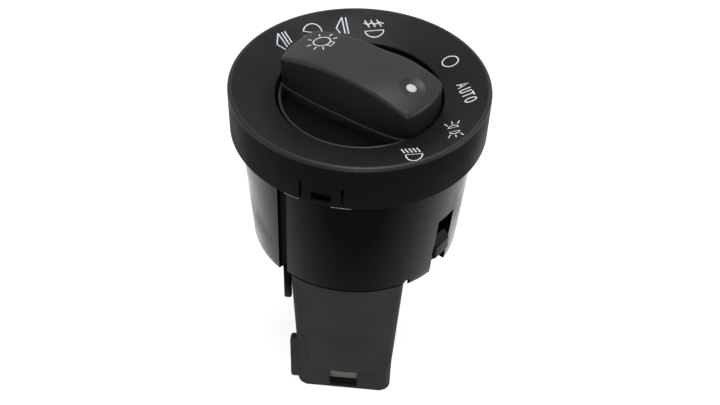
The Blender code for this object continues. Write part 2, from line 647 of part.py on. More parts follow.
def make_barrel():
    """The gloss barrel: a drafted tube with two ledges inside and a neck that the bezel snaps on to."""
    profile = [(BARREL_TOP_RADIUS, NECK_TOP_Z), (BARREL_TOP_RADIUS, RIM_FOOT_Z)]
    foot_z = BARREL_FOOT_Z - FOOT_SKIRT
    profile += [(BARREL_FOOT_RADIUS, BARREL_FOOT_Z), (BARREL_FOOT_RADIUS, foot_z), (FOOT_BORE, foot_z)]
    profile += [(FOOT_BORE, CONTACT_LEDGE_Z), (MIDDLE_BORE, CONTACT_LEDGE_Z)]
    profile += [(MIDDLE_BORE, CARRIER_LEDGE_Z), (NECK_BORE, CARRIER_LEDGE_Z), (NECK_BORE, NECK_TOP_Z)]
    barrel = turned("barrel_housing", profile, GLOSS_BLACK)

    nub_height = CATCH_WINDOW_HEIGHT - 2 * CATCH_CLEARANCE
    nub = (NUB_LENGTH, CATCH_WINDOW_WIDTH - 2 * CATCH_CLEARANCE, nub_height)
    nub_x = BEZEL_RADIUS - NUB_INSET - NUB_LENGTH / 2
    nub_z = RIM_FOOT_Z + CATCH_WINDOW_RISE
    joined(barrel, blocks("catch_nubs", [(nub, (nub_x, 0.0, nub_z), a) for a in TONGUE_AZIMUTHS]), "UNION")

    groove_top = RIM_FOOT_Z - SEAT_GAP
    skin = [(BARREL_TOP_RADIUS + CUT, groove_top), (BARREL_FOOT_RADIUS + CUT, BARREL_FOOT_Z - CUT)]
    skin += [(BARREL_FOOT_RADIUS - GROOVE_DEPTH, BARREL_FOOT_Z - CUT)]
    skin += [(barrel_radius(BARREL_FOOT_Z) - GROOVE_DEPTH, BARREL_FOOT_Z)]
    skin += [(barrel_radius(groove_top) - GROOVE_DEPTH, groove_top)]
    groove = turned("groove_skin", skin)
    side = (3 * CUT, GROOVE_WIDTH, 2 * BARREL_LENGTH + 2 * CUT)
    sides = blocks("groove_sides", [(side, (BARREL_TOP_RADIUS, 0.0, RIM_FOOT_Z), GROOVE_AZIMUTH)])
    joined(groove, sides, "INTERSECT")
    joined(barrel, groove, "DIFFERENCE")

    # Over the tower the foot is cut back, from the middle of the fin to the middle of the notch
    relief_left = TOWER_TOP_HALF_WIDTH + SEAT_GAP + FIN_WIDTH / 2
    relief_right = TOWER_TOP_HALF_WIDTH + SEAT_GAP + NOTCH_WIDTH / 2
    relief = (relief_left + relief_right, 4 * CUT, CUT)
    relief_centre = ((relief_right - relief_left) / 2, -BARREL_FOOT_RADIUS, BARREL_FOOT_Z - CUT / 2)
    joined(barrel, blocks("foot_relief", [(relief, relief_centre, 0.0)]), "DIFFERENCE")

    fin_x = -(TOWER_TOP_HALF_WIDTH + SEAT_GAP + FIN_WIDTH / 2)
    fin_y = -math.sqrt(BARREL_FOOT_RADIUS**2 - fin_x**2)
    fin_size = (FIN_WIDTH, 2 * FIN_DEPTH, 2 * FIN_LENGTH)
    fin_top = BARREL_FOOT_Z + 1.0 * MM
    fin_outer = BARREL_FOOT_RADIUS - GROOVE_DEPTH / 2
    fin_inner = FOOT_BORE + 0.1 * MM
    wall = [(fin_outer, fin_top), (fin_outer, BARREL_FOOT_Z - FIN_LENGTH)]
    wall += [(fin_inner, BARREL_FOOT_Z - FIN_LENGTH), (fin_inner, fin_top)]
    fin = turned("fin_wall", wall)
    joined(fin, blocks("fin_sides", [(fin_size, (fin_x, fin_y, BARREL_FOOT_Z), 0.0)]), "INTERSECT")
    joined(barrel, fin, "UNION")

    window_height = CONTACT_LEDGE_Z - BARREL_FOOT_Z - LUG_WINDOW_MARGIN
    window = (3 * CUT, LUG_WINDOW_WIDTH, 2 * window_height)
    items = [(window, (BARREL_FOOT_RADIUS, 0.0, BARREL_FOOT_Z), azimuth) for azimuth in LUG_AZIMUTHS]
    hole = (3 * CUT, NOSE_WIDTH + 2 * SEAT_GAP, NOSE_HEIGHT + 2 * SEAT_GAP)
    hole_z = PLATE_Z + PLATE_THICKNESS / 2
    items += [(hole, (BARREL_FOOT_RADIUS, 0.0, hole_z), azimuth) for azimuth in NOSE_AZIMUTHS]
    notch = (NOTCH_WIDTH, 4 * CUT, CUT + NOTCH_HEIGHT)
    notch_x = TOWER_TOP_HALF_WIDTH + SEAT_GAP + NOTCH_WIDTH / 2
    notch_z = BARREL_FOOT_Z + (NOTCH_HEIGHT - CUT) / 2
    items.append((notch, (notch_x, -BARREL_FOOT_RADIUS, notch_z), 0.0))
    return joined(barrel, blocks("barrel_cuts", items), "DIFFERENCE")


def make_knob():
    """The knob: a disc with an arched grip across it and a finger pocket on each side of the grip."""
    ceiling = POCKET_Z - KNOB_WALL
    inner = KNOB_RADIUS - KNOB_WALL
    profile = [(0.0, DISC_Z), (KNOB_RADIUS - KNOB_EDGE, DISC_Z), (KNOB_RADIUS, DISC_Z - KNOB_EDGE)]
    profile += [(KNOB_RADIUS, SKIRT_FOOT_Z), (inner, SKIRT_FOOT_Z), (inner, ceiling), (0.0, ceiling)]
    knob = turned("rotary_knob", profile, GRIP_BLACK)

    grip = grip_block("grip_form", 0.0, DISC_Z - 1.0 * MM, GRIP_EDGE)
    ends = cylinder("grip_ends", KNOB_RADIUS, DISC_Z - CUT, GRIP_CREST_Z + CUT, steps=RIM_STEPS)
    joined(grip, ends, "INTERSECT")
    joined(knob, grip, "UNION")

    pocket_radius = KNOB_RADIUS - POCKET_RIM
    bowl = [(0.0, GRIP_CREST_Z), (pocket_radius, GRIP_CREST_Z), (pocket_radius, POCKET_Z + POCKET_FILLET)]
    bowl += [(pocket_radius - 0.3 * POCKET_FILLET, POCKET_Z + 0.3 * POCKET_FILLET)]
    bowl += [(pocket_radius - POCKET_FILLET, POCKET_Z), (0.0, POCKET_Z)]
    pockets = turned("pocket_bowl", bowl, steps=RIM_STEPS)
    joined(pockets, grip_block("pocket_divider", -POCKET_RIM, POCKET_Z - CUT, GRIP_EDGE), "DIFFERENCE")
    joined(knob, pockets, "DIFFERENCE")

    hollow = grip_block("grip_hollow", KNOB_WALL, ceiling - CUT, GRIP_EDGE)
    joined(hollow, cylinder("hollow_ends", inner, ceiling - 1.0 * MM, GRIP_CREST_Z), "INTERSECT")
    joined(knob, hollow, "DIFFERENCE")

    boss_top = grip_arch(BOSS_RADIUS) - KNOB_WALL / 2
    joined(knob, cylinder("shaft_boss", BOSS_RADIUS, BOSS_FOOT_Z, boss_top), "UNION")
    socket = rectangle(SOCKET_WIDTH / 2, SOCKET_WIDTH / 2)
    joined(knob, plate("shaft_socket", [socket], BOSS_FOOT_Z - CUT, SHAFT_TOP_Z + SEAT_GAP), "DIFFERENCE")

    floor = grip_arch(DIMPLE_OFFSET) - DIMPLE_DEPTH
    bend = (DIMPLE_RADIUS**2 + DIMPLE_DEPTH**2) / (2 * DIMPLE_DEPTH)
    rings = [DIMPLE_RADIUS * 1.2 * step / 4 for step in range(5)]
    bowl = [(rings[-1], floor + CUT)] + [(r, floor + bend - math.sqrt(bend**2 - r**2)) for r in rings[::-1]]
    dimple = turned("pointer_dimple", [(0.0, floor + CUT)] + bowl, steps=DIMPLE_STEPS)
    dimple.location.x = DIMPLE_OFFSET
    joined(knob, dimple, "DIFFERENCE")
    hole = cylinder("lens_hole", LENS_RADIUS + RUN_GAP / 2, floor - CUT, floor + CUT, steps=TINY_STEPS)
    hole.location.x = DIMPLE_OFFSET
    joined(knob, hole, "DIFFERENCE")
    return knob


def make_pointer_lens():
    """The white light window in the grip's pointer dimple, with a flange under the grip's top."""
    top = grip_arch(DIMPLE_OFFSET) - DIMPLE_DEPTH
    seat = grip_arch(DIMPLE_OFFSET, KNOB_WALL) - SEAT_GAP - 0.5 * MM
    flange = LENS_RADIUS + LENS_FLANGE
    profile = [(0.0, top + LENS_DOME), (0.7 * LENS_RADIUS, top + 0.7 * LENS_DOME), (LENS_RADIUS, top)]
    profile += [(LENS_RADIUS, seat), (flange, seat), (flange, seat - LENS_FLANGE)]
    profile += [(LENS_RADIUS, seat - LENS_FLANGE), (LENS_RADIUS, top - LENS_LENGTH), (0.0, top - LENS_LENGTH)]
    lens = turned("pointer_lens", profile, LENS_WHITE, steps=TINY_STEPS)
    lens.location.x = DIMPLE_OFFSET
    return lens


def make_knob_shaft():
    """The square shaft that turns the rotor and slides through it, with a spool near its foot."""
    half = SHAFT_WIDTH / 2
    outline = rectangle(half, half, chamfer=SHAFT_CHAMFER)
    shaft = plate("knob_shaft", [outline], SPOOL_FOOT_Z, SHAFT_TOP_Z, WHITE_PLASTIC)
    for name, level in (("upper_flange", SPOOL_TOP_Z - SPOOL_FLANGE), ("lower_flange", SPOOL_FOOT_Z)):
        flange = cylinder(name, SPOOL_RADIUS, level, level + SPOOL_FLANGE, steps=DIMPLE_STEPS)
        joined(shaft, flange, "UNION")
    return shaft


def make_rotor():
    """The rotor: a disc with a scalloped rim for the detent, and a hub that runs in the bearing plate."""
    lobes = round(360 / STAR_PITCH)
    steps = 6 * lobes
    outline = []
    for step in range(steps):
        azimuth = 360 * step / steps
        wave = math.cos(math.radians(lobes * (azimuth - DETENT_AZIMUTHS[0])))
        point = polar(STAR_RADIUS - STAR_DEPTH * wave, azimuth)
        outline.append((point.x, point.y))
    rotor = plate("turn_rotor", [outline], ROTOR_Z, ROTOR_Z + ROTOR_THICKNESS, WHITE_PLASTIC)
    groove = HUB_RADIUS - CLIP_GROOVE
    groove_z = CLIP_Z - SEAT_GAP / 2
    groove_top = CLIP_Z + CLIP_THICKNESS + SEAT_GAP / 2
    profile = [(0.0, HUB_TOP_Z), (HUB_RADIUS, HUB_TOP_Z), (HUB_RADIUS, groove_top), (groove, groove_top)]
    profile += [(groove, groove_z), (HUB_RADIUS, groove_z), (HUB_RADIUS, SHOULDER_Z)]
    profile += [(HUB_SHOULDER_RADIUS, SHOULDER_Z), (HUB_SHOULDER_RADIUS, ROTOR_Z + ROTOR_THICKNESS / 2)]
    profile += [(0.0, ROTOR_Z + ROTOR_THICKNESS / 2)]
    joined(rotor, turned("rotor_hub", profile, steps=DIMPLE_STEPS), "UNION")
    bore = rectangle(SOCKET_WIDTH / 2, SOCKET_WIDTH / 2)
    shaft_way = plate("rotor_bore", [bore], ROTOR_Z - CUT, HUB_TOP_Z + CUT)
    shaft_way.rotation_euler.z = math.radians(POINTER_AZIMUTH)
    return joined(rotor, shaft_way, "DIFFERENCE")


def make_retaining_clip():
    """The open spring ring in the hub's groove, above the bearing plate."""
    inner = HUB_RADIUS - CLIP_GROOVE + RUN_GAP
    half_angle = 180 - CLIP_OPENING / 2
    outline = ring_sector(90.0, inner, inner + CLIP_WIDTH, half_angle, steps=20)
    return plate("retaining_clip", [outline], CLIP_Z, CLIP_Z + CLIP_THICKNESS, SPRING_STEEL)


def make_bearing_plate():
    """The plate on the barrel's upper ledge, with the hub's bearing and the detent springs' posts."""
    profile = [(CARRIER_RADIUS, CARRIER_TOP_Z), (CARRIER_RADIUS, CARRIER_Z), (BEARING_BORE, CARRIER_Z)]
    profile += [(BEARING_BORE, BEARING_TOP_Z), (BEARING_BORE + BEARING_WALL, BEARING_TOP_Z)]
    profile += [(BEARING_BORE + BEARING_WALL, CARRIER_TOP_Z)]
    carrier = turned("bearing_plate", profile, WHITE_PLASTIC, steps=SMALL_STEPS)
    spots = []
    for azimuth in DETENT_AZIMUTHS:
        for side in (-1, 1):
            away = LEAF_END_RADIUS + LEAF_THICKNESS / 2 + SEAT_GAP + LEAF_POST_RADIUS
            spot = polar(away, azimuth) + polar(side * (LEAF_HALF_SPAN - LEAF_POST_INSET), azimuth + 90)
            spots.append((spot.x, spot.y))
    posts = pegs("leaf_posts", spots, LEAF_POST_RADIUS, LEAF_Z - 0.4 * MM, CARRIER_Z + CARRIER_THICKNESS / 2)
    return joined(carrier, posts, "UNION")


def make_detent_spring(name, azimuth):
    """A steel leaf with a nose in one of the rotor's scallops."""
    nose = STAR_RADIUS - STAR_DEPTH + SEAT_GAP + LEAF_THICKNESS / 2
    path = [(LEAF_END_RADIUS, -LEAF_HALF_SPAN), (LEAF_END_RADIUS - 0.4 * MM, -LEAF_NOSE_HALF_WIDTH)]
    path += [(nose, -0.4 * MM), (nose, 0.4 * MM)]
    path += [(LEAF_END_RADIUS - 0.4 * MM, LEAF_NOSE_HALF_WIDTH), (LEAF_END_RADIUS, LEAF_HALF_SPAN)]
    leaf = place(name, strip_mesh(name, path, LEAF_THICKNESS, LEAF_HEIGHT), SPRING_STEEL)
    leaf.location.z = LEAF_Z
    leaf.rotation_euler.z = math.radians(azimuth)
    return leaf


def make_contact_plate():
    """The plate on the barrel's lower ledge, with a wall behind each lug's spring."""
    profile = [(CONTACT_PLATE_RADIUS, CONTACT_PLATE_Z + CONTACT_PLATE_THICKNESS)]
    profile += [(CONTACT_PLATE_RADIUS, CONTACT_PLATE_Z), (CONTACT_PLATE_BORE, CONTACT_PLATE_Z)]
    profile += [(CONTACT_PLATE_BORE, CONTACT_PLATE_Z + CONTACT_PLATE_THICKNESS)]
    board = turned("contact_plate", profile, BLOCK_GREY, steps=SMALL_STEPS)
    top = CONTACT_PLATE_Z + CONTACT_PLATE_THICKNESS / 2
    foot = LUG_SPRING_Z - LUG_SPRING_RADIUS - 0.8 * MM
    size = (SPRING_SEAT_THICKNESS, SPRING_SEAT_WIDTH, top - foot)
    centre = (SPRING_SEAT_RADIUS - SPRING_SEAT_THICKNESS / 2, 0.0, (top + foot) / 2)
    return joined(board, blocks("spring_seats", [(size, centre, a) for a in LUG_AZIMUTHS]), "UNION")


def make_contacts():
    """The copper tracks on the contact plate, and the rotor's wipers above them."""
    middle = TRACK_AZIMUTH + TRACK_ARC_ANGLE / 2
    for number in range(1, TRACK_COUNT + 1):
        radius = FIRST_TRACK_RADIUS + (number - 1) * TRACK_PITCH
        outline = ring_sector(middle, radius - TRACK_WIDTH / 2, radius + TRACK_WIDTH / 2, TRACK_ARC_ANGLE / 2)
        plate(f"contact_track_{number}", [outline], TRACK_Z, TRACK_TOP_Z, CONTACT_COPPER)
        name = f"wiper_{number}"
        low = WIPER_THICKNESS / 2 - WIPER_DROP
        path = [(-WIPER_FOOT, -WIPER_THICKNESS / 2), (WIPER_FOOT, -WIPER_THICKNESS / 2)]
        path += [(WIPER_REACH - 2 * WIPER_NOSE, low + 0.3 * MM), (WIPER_REACH - WIPER_NOSE, low)]
        path += [(WIPER_REACH, low + 0.4 * MM)]
        width = 0.8 * TRACK_WIDTH
        wiper = place(name, on_edge(strip_mesh(name, path, WIPER_THICKNESS, width), width), CONTACT_COPPER)
        wiper.location = polar(radius, middle, ROTOR_Z - SEAT_GAP)
        wiper.rotation_euler.z = math.radians(middle + 90)


def make_circuit_board():
    """The round board over the rear housing's plate."""
    holes = [circle(GUIDE_POST_RADIUS + 2 * RUN_GAP, TINY_STEPS, x, y) for x, y in GUIDE_POSTS]
    return plate("circuit_board", [circle(BOARD_RADIUS), *holes], BOARD_Z, BOARD_TOP_Z, BOARD_GREEN)


def make_fog_contacts():
    """The carriage that the spool lifts, its copper wiper, and the copper strip beside its path."""
    start = CARRIAGE_REACH - CARRIAGE_LENGTH
    slot = SHAFT_WIDTH / 2 * math.sqrt(2) + RUN_GAP
    width = CARRIAGE_HALF_WIDTH
    bend = [(slot * math.cos(math.radians(a)), slot * math.sin(math.radians(a))) for a in range(90, -91, -18)]
    outline = [(start, slot), *bend, (start, -slot), (start, -width), (CARRIAGE_REACH, -width)]
    outline += [(CARRIAGE_REACH, width), (start, width)]
    holes = [circle(GUIDE_POST_RADIUS + RUN_GAP, TINY_STEPS, x, y) for x, y in GUIDE_POSTS]
    carriage = plate("fog_carriage", [outline, *holes], CARRIAGE_Z, CARRIAGE_TOP_Z, WHITE_PLASTIC)

    strip_x = CONTACT_PLATE_BORE - 0.7 * MM - FOG_STRIP_THICKNESS
    size = (FOG_STRIP_THICKNESS, 2 * FOG_STRIP_HALF_WIDTH, ROTOR_Z - 1.0 * MM - BOARD_TOP_Z - SEAT_GAP)
    centre = (strip_x, 0.0, BOARD_TOP_Z + SEAT_GAP + size[2] / 2)
    blocks("fog_contact", [(size, centre, 0.0)], CONTACT_COPPER)

    middle = (CARRIAGE_Z + CARRIAGE_TOP_Z) / 2
    foot = CARRIAGE_REACH + SEAT_GAP + WIPER_THICKNESS / 2
    nose = strip_x - FOG_STRIP_THICKNESS / 2 - SEAT_GAP - WIPER_THICKNESS / 2
    path = [(foot, middle + 0.8 * MM), (foot, middle - 0.6 * MM), (nose, middle - 2.4 * MM)]
    path += [(nose, middle - 3.0 * MM), (nose - 0.5 * MM, middle - 3.6 * MM)]
    width = 2 * FOG_STRIP_HALF_WIDTH - 1.6 * MM
    place("fog_wiper", on_edge(strip_mesh("fog_wiper", path, WIPER_THICKNESS, width), width), CONTACT_COPPER)
    return carriage


def make_lug(name, azimuth):
    """A locking lug: a wedge in the barrel's window, with a flange behind the wall."""
    inner = LUG_FLANGE_INNER
    outer = barrel_radius(LUG_Z + LUG_HEIGHT / 2) + LUG_PROUD
    top = LUG_Z + LUG_HEIGHT
    outline = [(inner, LUG_Z), (outer - 1.4 * MM, LUG_Z), (outer, LUG_Z + 1.6 * MM)]
    outline += [(outer, top - 3.0 * MM), (outer - 1.8 * MM, top), (inner, top)]
    width = LUG_WINDOW_WIDTH - 2 * LUG_CLEARANCE
    lug = place(name, on_edge(flat_mesh(name, [outline], width), width), SHELL_GREY)
    size = (LUG_FLANGE_THICKNESS, LUG_FLANGE_WIDTH, LUG_HEIGHT)
    centre = (inner + LUG_FLANGE_THICKNESS / 2, 0.0, LUG_Z + LUG_HEIGHT / 2)
    flange = blocks(f"{name}_flange", [(size, centre, 0.0)])
    joined(lug, flange, "UNION")
    flange.rotation_euler.z = math.radians(azimuth)
    lug.rotation_euler.z = math.radians(azimuth)
    return lug


def make_lug_spring(name, azimuth):
    """The spring that pushes a lug out."""
    start = SPRING_SEAT_RADIUS + SEAT_GAP
    length = LUG_FLANGE_INNER - SEAT_GAP - start
    spring = coil(name, LUG_SPRING_RADIUS - WIRE_RADIUS, length, 3.0, SPRING_STEEL)
    spring.rotation_euler = (0.0, math.radians(90), math.radians(azimuth))
    spring.location = polar(start, azimuth, LUG_SPRING_Z)
    return spring


def make_push_spring():
    """The spring under the shaft, which brings the knob back when it has been pushed in."""
    height = SPOOL_FOOT_Z - SEAT_GAP - BOARD_TOP_Z - SEAT_GAP
    spring = coil("push_spring", SHAFT_WIDTH / 2, height, 5.0, SPRING_STEEL)
    spring.location.z = BOARD_TOP_Z + SEAT_GAP
    return spring


def make_face_light():
    """The ring of milky plastic behind the face's symbols, and the board with its lamps."""
    inner = WELL_OUTER_RADIUS + GUIDE_RING_CLEARANCE
    outer = BARREL_TOP_RADIUS - GUIDE_RING_CLEARANCE
    under = BEZEL_WALL + GUIDE_RING_CLEARANCE
    neck_top = NECK_TOP_Z + GUIDE_RING_CLEARANCE
    foot = LED_Z + LED_SIZE[2] + GUIDE_RING_CLEARANCE
    foot_outer = NECK_BORE - GUIDE_RING_CLEARANCE
    foot_inner = foot_outer - GUIDE_RING_FOOT_WIDTH
    profile = [(outer, face_height(outer, under)), (outer, neck_top), (foot_outer, neck_top)]
    profile += [(foot_outer, foot), (foot_inner, foot), (inner, neck_top - 1.5 * MM)]
    profile += [(inner, face_height(inner, under))]
    turned("face_light_guide", profile, CLEAR_PLASTIC, steps=SMALL_STEPS)
    board_top = LED_BOARD_Z + LED_BOARD_THICKNESS
    ring = [(CARRIER_RADIUS, board_top), (CARRIER_RADIUS, LED_BOARD_Z)]
    ring += [(LED_BOARD_INNER, LED_BOARD_Z), (LED_BOARD_INNER, board_top)]
    turned("face_led_board", ring, BOARD_GREEN, steps=SMALL_STEPS)
    for number in range(LED_COUNT):
        azimuth = 360 * number / LED_COUNT
        centre = ((foot_outer + foot_inner) / 2, 0.0, LED_Z + LED_SIZE[2] / 2)
        blocks(f"face_led_{number + 1}", [(LED_SIZE, centre, azimuth)], WHITE_PLASTIC)


def make_rear_housing():
    """The rear housing: a plate that closes the barrel, and the tower with the plug socket at its end."""
    gap_z = BARREL_FOOT_Z - SEAT_GAP
    end_front = TOWER_FRONT_RADIUS - TOWER_FRONT_DRAFT
    foot = tower_outline(TOWER_END_HALF_WIDTH, end_front, TOWER_BACK - TOWER_BACK_DRAFT)
    head = tower_outline(TOWER_TOP_HALF_WIDTH, TOWER_FRONT_RADIUS, TOWER_BACK)
    housing = loft("rear_housing", foot, 0.0, head, gap_z, SHELL_GREY)
    core = loft("tower_core", head, gap_z - 1.0 * MM, head, PLATE_Z + PLATE_THICKNESS / 2)
    limit = cylinder("core_limit", PLATE_RADIUS - SEAT_GAP, gap_z - CUT, PLATE_TOP_Z, steps=RIM_STEPS)
    joined(core, limit, "INTERSECT")
    joined(housing, core, "UNION")
    joined(housing, cylinder("housing_plate", PLATE_RADIUS, PLATE_Z, PLATE_TOP_Z, steps=RIM_STEPS), "UNION")

    nose_reach = barrel_radius(PLATE_TOP_Z) - 0.6 * MM
    nose = (NOSE_LENGTH, NOSE_WIDTH, NOSE_HEIGHT)
    nose_centre = (nose_reach - NOSE_LENGTH / 2, 0.0, PLATE_Z + PLATE_THICKNESS / 2)
    items = [(nose, nose_centre, azimuth) for azimuth in NOSE_AZIMUTHS]
    rib_outer = TOWER_END_HALF_WIDTH + (TOWER_TOP_HALF_WIDTH - TOWER_END_HALF_WIDTH) * RIB_TOP / TOWER_LENGTH
    rib = (2 * RIB_PROUD, RIB_DEPTH, RIB_TOP - RIB_BOTTOM)
    rib_y = FACET_Y + RIB_FRONT_INSET + RIB_DEPTH / 2
    items.append((rib, (-rib_outer, rib_y, (RIB_TOP + RIB_BOTTOM) / 2), 0.0))
    joined(housing, blocks("noses_and_rib", items), "UNION")

    places = [polar(BOARD_RADIUS - BOARD_PAD_INSET, azimuth) for azimuth in BOARD_PAD_AZIMUTHS]
    spots = [(point.x, point.y) for point in places]
    foot = PLATE_Z + PLATE_THICKNESS / 2
    pads = pegs("board_pads", spots, BOARD_PAD_RADIUS, foot, BOARD_Z - SEAT_GAP)
    joined(housing, pads, "UNION")
    posts = pegs("guide_posts", GUIDE_POSTS, GUIDE_POST_RADIUS, foot, ROTOR_Z - 1.0 * MM)
    joined(housing, posts, "UNION")

    ceiling = TOWER_LENGTH - PASSAGE_LENGTH
    hollow = loft("socket_hollow", socket_outline(-CUT), -CUT, socket_outline(ceiling), ceiling)
    joined(housing, hollow, "DIFFERENCE")
    passage_middle = (PASSAGE_BACK_Y + PASSAGE_FRONT_Y) / 2
    passage_half_depth = (PASSAGE_BACK_Y - PASSAGE_FRONT_Y) / 2
    passage = rectangle(PASSAGE_HALF_WIDTH, passage_half_depth, 0.0, passage_middle)
    joined(housing, plate("wire_passage", [passage], ceiling - 1.0 * MM, PLATE_TOP_Z + CUT), "DIFFERENCE")

    facet = (4 * TOWER_TOP_HALF_WIDTH, 2 * CUT, 2 * FACET_HEIGHT)
    window = (LATCH_WINDOW_WIDTH, 2 * CUT, LATCH_WINDOW_HEIGHT)
    window_z = LATCH_WINDOW_BOTTOM + LATCH_WINDOW_HEIGHT / 2
    joined(housing, blocks("front_facet", [(facet, (0.0, FACET_Y - CUT, 0.0), 0.0)]), "DIFFERENCE")
    joined(housing, blocks("latch_window", [(window, (0.0, FACET_Y, window_z), 0.0)]), "DIFFERENCE")
    return housing


def make_terminals():
    """The block that closes the plug socket, with a tongue behind the latch window, and its blades."""
    xs = [TERMINAL_PITCH * (index - (TERMINALS_IN_A_ROW - 1) / 2) for index in range(TERMINALS_IN_A_ROW)]
    spots = [(x, y) for y in (FRONT_ROW_Y, BACK_ROW_Y) for x in xs]
    half_width = TERMINAL_WIDTH / 2 + TERMINAL_GAP
    half_depth = TERMINAL_THICKNESS / 2 + TERMINAL_GAP
    slots = [rectangle(half_width, half_depth, x, y) for x, y in spots]
    outline = socket_outline(SOCKET_FLOOR, SEAT_GAP)
    top = SOCKET_FLOOR + BLOCK_THICKNESS
    block = plate("terminal_block", [outline, *slots], SOCKET_FLOOR, top, BLOCK_GREY)
    height = SOCKET_FLOOR + 1.0 * MM - TONGUE_PLATE_BOTTOM
    size = (TONGUE_PLATE_WIDTH, TONGUE_PLATE_THICKNESS, height)
    tongue_y = SOCKET_FRONT_Y + 2 * SEAT_GAP + TONGUE_PLATE_THICKNESS / 2
    centre = (0.0, tongue_y, TONGUE_PLATE_BOTTOM + height / 2)
    joined(block, blocks("block_tongue", [(size, centre, 0.0)]), "UNION")

    half = TERMINAL_WIDTH / 2
    tip = half - 0.7 * MM
    length = BOARD_Z - SEAT_GAP - TERMINAL_TIP
    blade = [(-tip, 0.0), (tip, 0.0), (half, TERMINAL_TAPER), (half, length)]
    blade += [(-half, length), (-half, TERMINAL_TAPER)]
    mesh = on_edge(flat_mesh("terminal_blade", [blade], TERMINAL_THICKNESS), TERMINAL_THICKNESS)
    mesh.materials.append(TINNED_COPPER)
    for number, (x, y) in enumerate(spots, 1):
        terminal = bpy.data.objects.new(f"terminal_{number}", mesh)
        terminal.location = (x, y, TERMINAL_TIP)
        PARTS.objects.link(terminal)


def settle(obj):
    """Turns a finished piece's modifiers into its mesh, smooth on its round faces."""
    if obj.type != "MESH" or not obj.modifiers:
        return
    drawn = obj.evaluated_get(bpy.context.evaluated_depsgraph_get())
    mesh = bpy.data.meshes.new_from_object(drawn)
    obj.modifiers.clear()
    obj.data = mesh
    mesh.name = obj.name
    mesh.shade_smooth()
    mesh.set_sharp_from_angle(angle=math.radians(30))


make_bezel()
make_barrel()
make_rear_housing()
make_bearing_plate()
make_contact_plate()
make_face_light()
make_circuit_board()
make_terminals()
make_rotor()
make_retaining_clip()
make_contacts()
make_fog_contacts()
make_push_spring()
for side, bearing in zip(("left", "right"), DETENT_AZIMUTHS):
    make_detent_spring(f"detent_spring_{side}", bearing)
for side, bearing in zip(("front", "back"), LUG_AZIMUTHS):
    make_lug(f"lock_lug_{side}", bearing)
    make_lug_spring(f"lug_spring_{side}", bearing)

turning = bpy.data.objects.new("knob_axis", None)
PARTS.objects.link(turning)
turning.rotation_euler.z = math.radians(POINTER_AZIMUTH)
knob_pieces = [make_knob(), make_pointer_lens(), make_knob_shaft()]
bpy.context.view_layer.update()
for piece in list(PARTS.objects):
    settle(piece)
for piece in knob_pieces:
    piece.parent = turning
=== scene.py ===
"""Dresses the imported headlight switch: finer shells for its dished face, knob, barrel and tower, its printed
marks, its finishes, and a plain white studio seen from the photograph's angle.

Heights run along Z from the plug socket's end, and every size is in metres.
"""

import logging
import math
from collections.abc import Callable
from dataclasses import dataclass
from enum import Enum

import bmesh
import bpy
from bmesh.types import BMEdge, BMesh, BMVert
from bpy.types import ID, Material, Mesh, Node, NodeSocket, NodeTree, Object
from mathutils import Matrix, Vector


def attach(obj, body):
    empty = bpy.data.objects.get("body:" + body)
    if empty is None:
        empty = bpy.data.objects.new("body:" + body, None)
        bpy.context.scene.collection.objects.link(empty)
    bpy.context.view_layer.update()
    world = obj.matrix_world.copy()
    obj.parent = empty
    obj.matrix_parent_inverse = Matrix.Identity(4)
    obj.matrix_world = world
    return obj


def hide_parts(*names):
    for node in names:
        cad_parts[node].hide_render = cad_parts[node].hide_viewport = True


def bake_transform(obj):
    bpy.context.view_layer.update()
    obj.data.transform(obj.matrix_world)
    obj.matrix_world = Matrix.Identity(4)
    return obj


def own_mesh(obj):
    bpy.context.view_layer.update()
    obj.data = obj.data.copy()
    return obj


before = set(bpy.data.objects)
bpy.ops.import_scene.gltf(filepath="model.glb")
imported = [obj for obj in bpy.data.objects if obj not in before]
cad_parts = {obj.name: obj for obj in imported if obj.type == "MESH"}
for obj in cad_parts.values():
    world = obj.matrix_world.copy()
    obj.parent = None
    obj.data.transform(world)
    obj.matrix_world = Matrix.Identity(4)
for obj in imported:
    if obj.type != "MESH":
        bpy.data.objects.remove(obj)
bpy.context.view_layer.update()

MM = 0.001
CREASE = 35.0
WIRE_CREASE = 60.0
EDGE_BREAK = 0.2 * MM
FILLET = 0.3 * MM
INK_THICKNESS = 0.03 * MM
GRAIN_DEPTH = 0.05 * MM
DUST_COLOUR = (0.5, 0.49, 0.47, 1.0)
WHITE = (1.0, 1.0, 1.0, 1.0)
LOG = logging.getLogger("headlight_switch")
Point = tuple[float, float]
Triple = tuple[float, float, float]


# Sizes that several sub-assemblies share


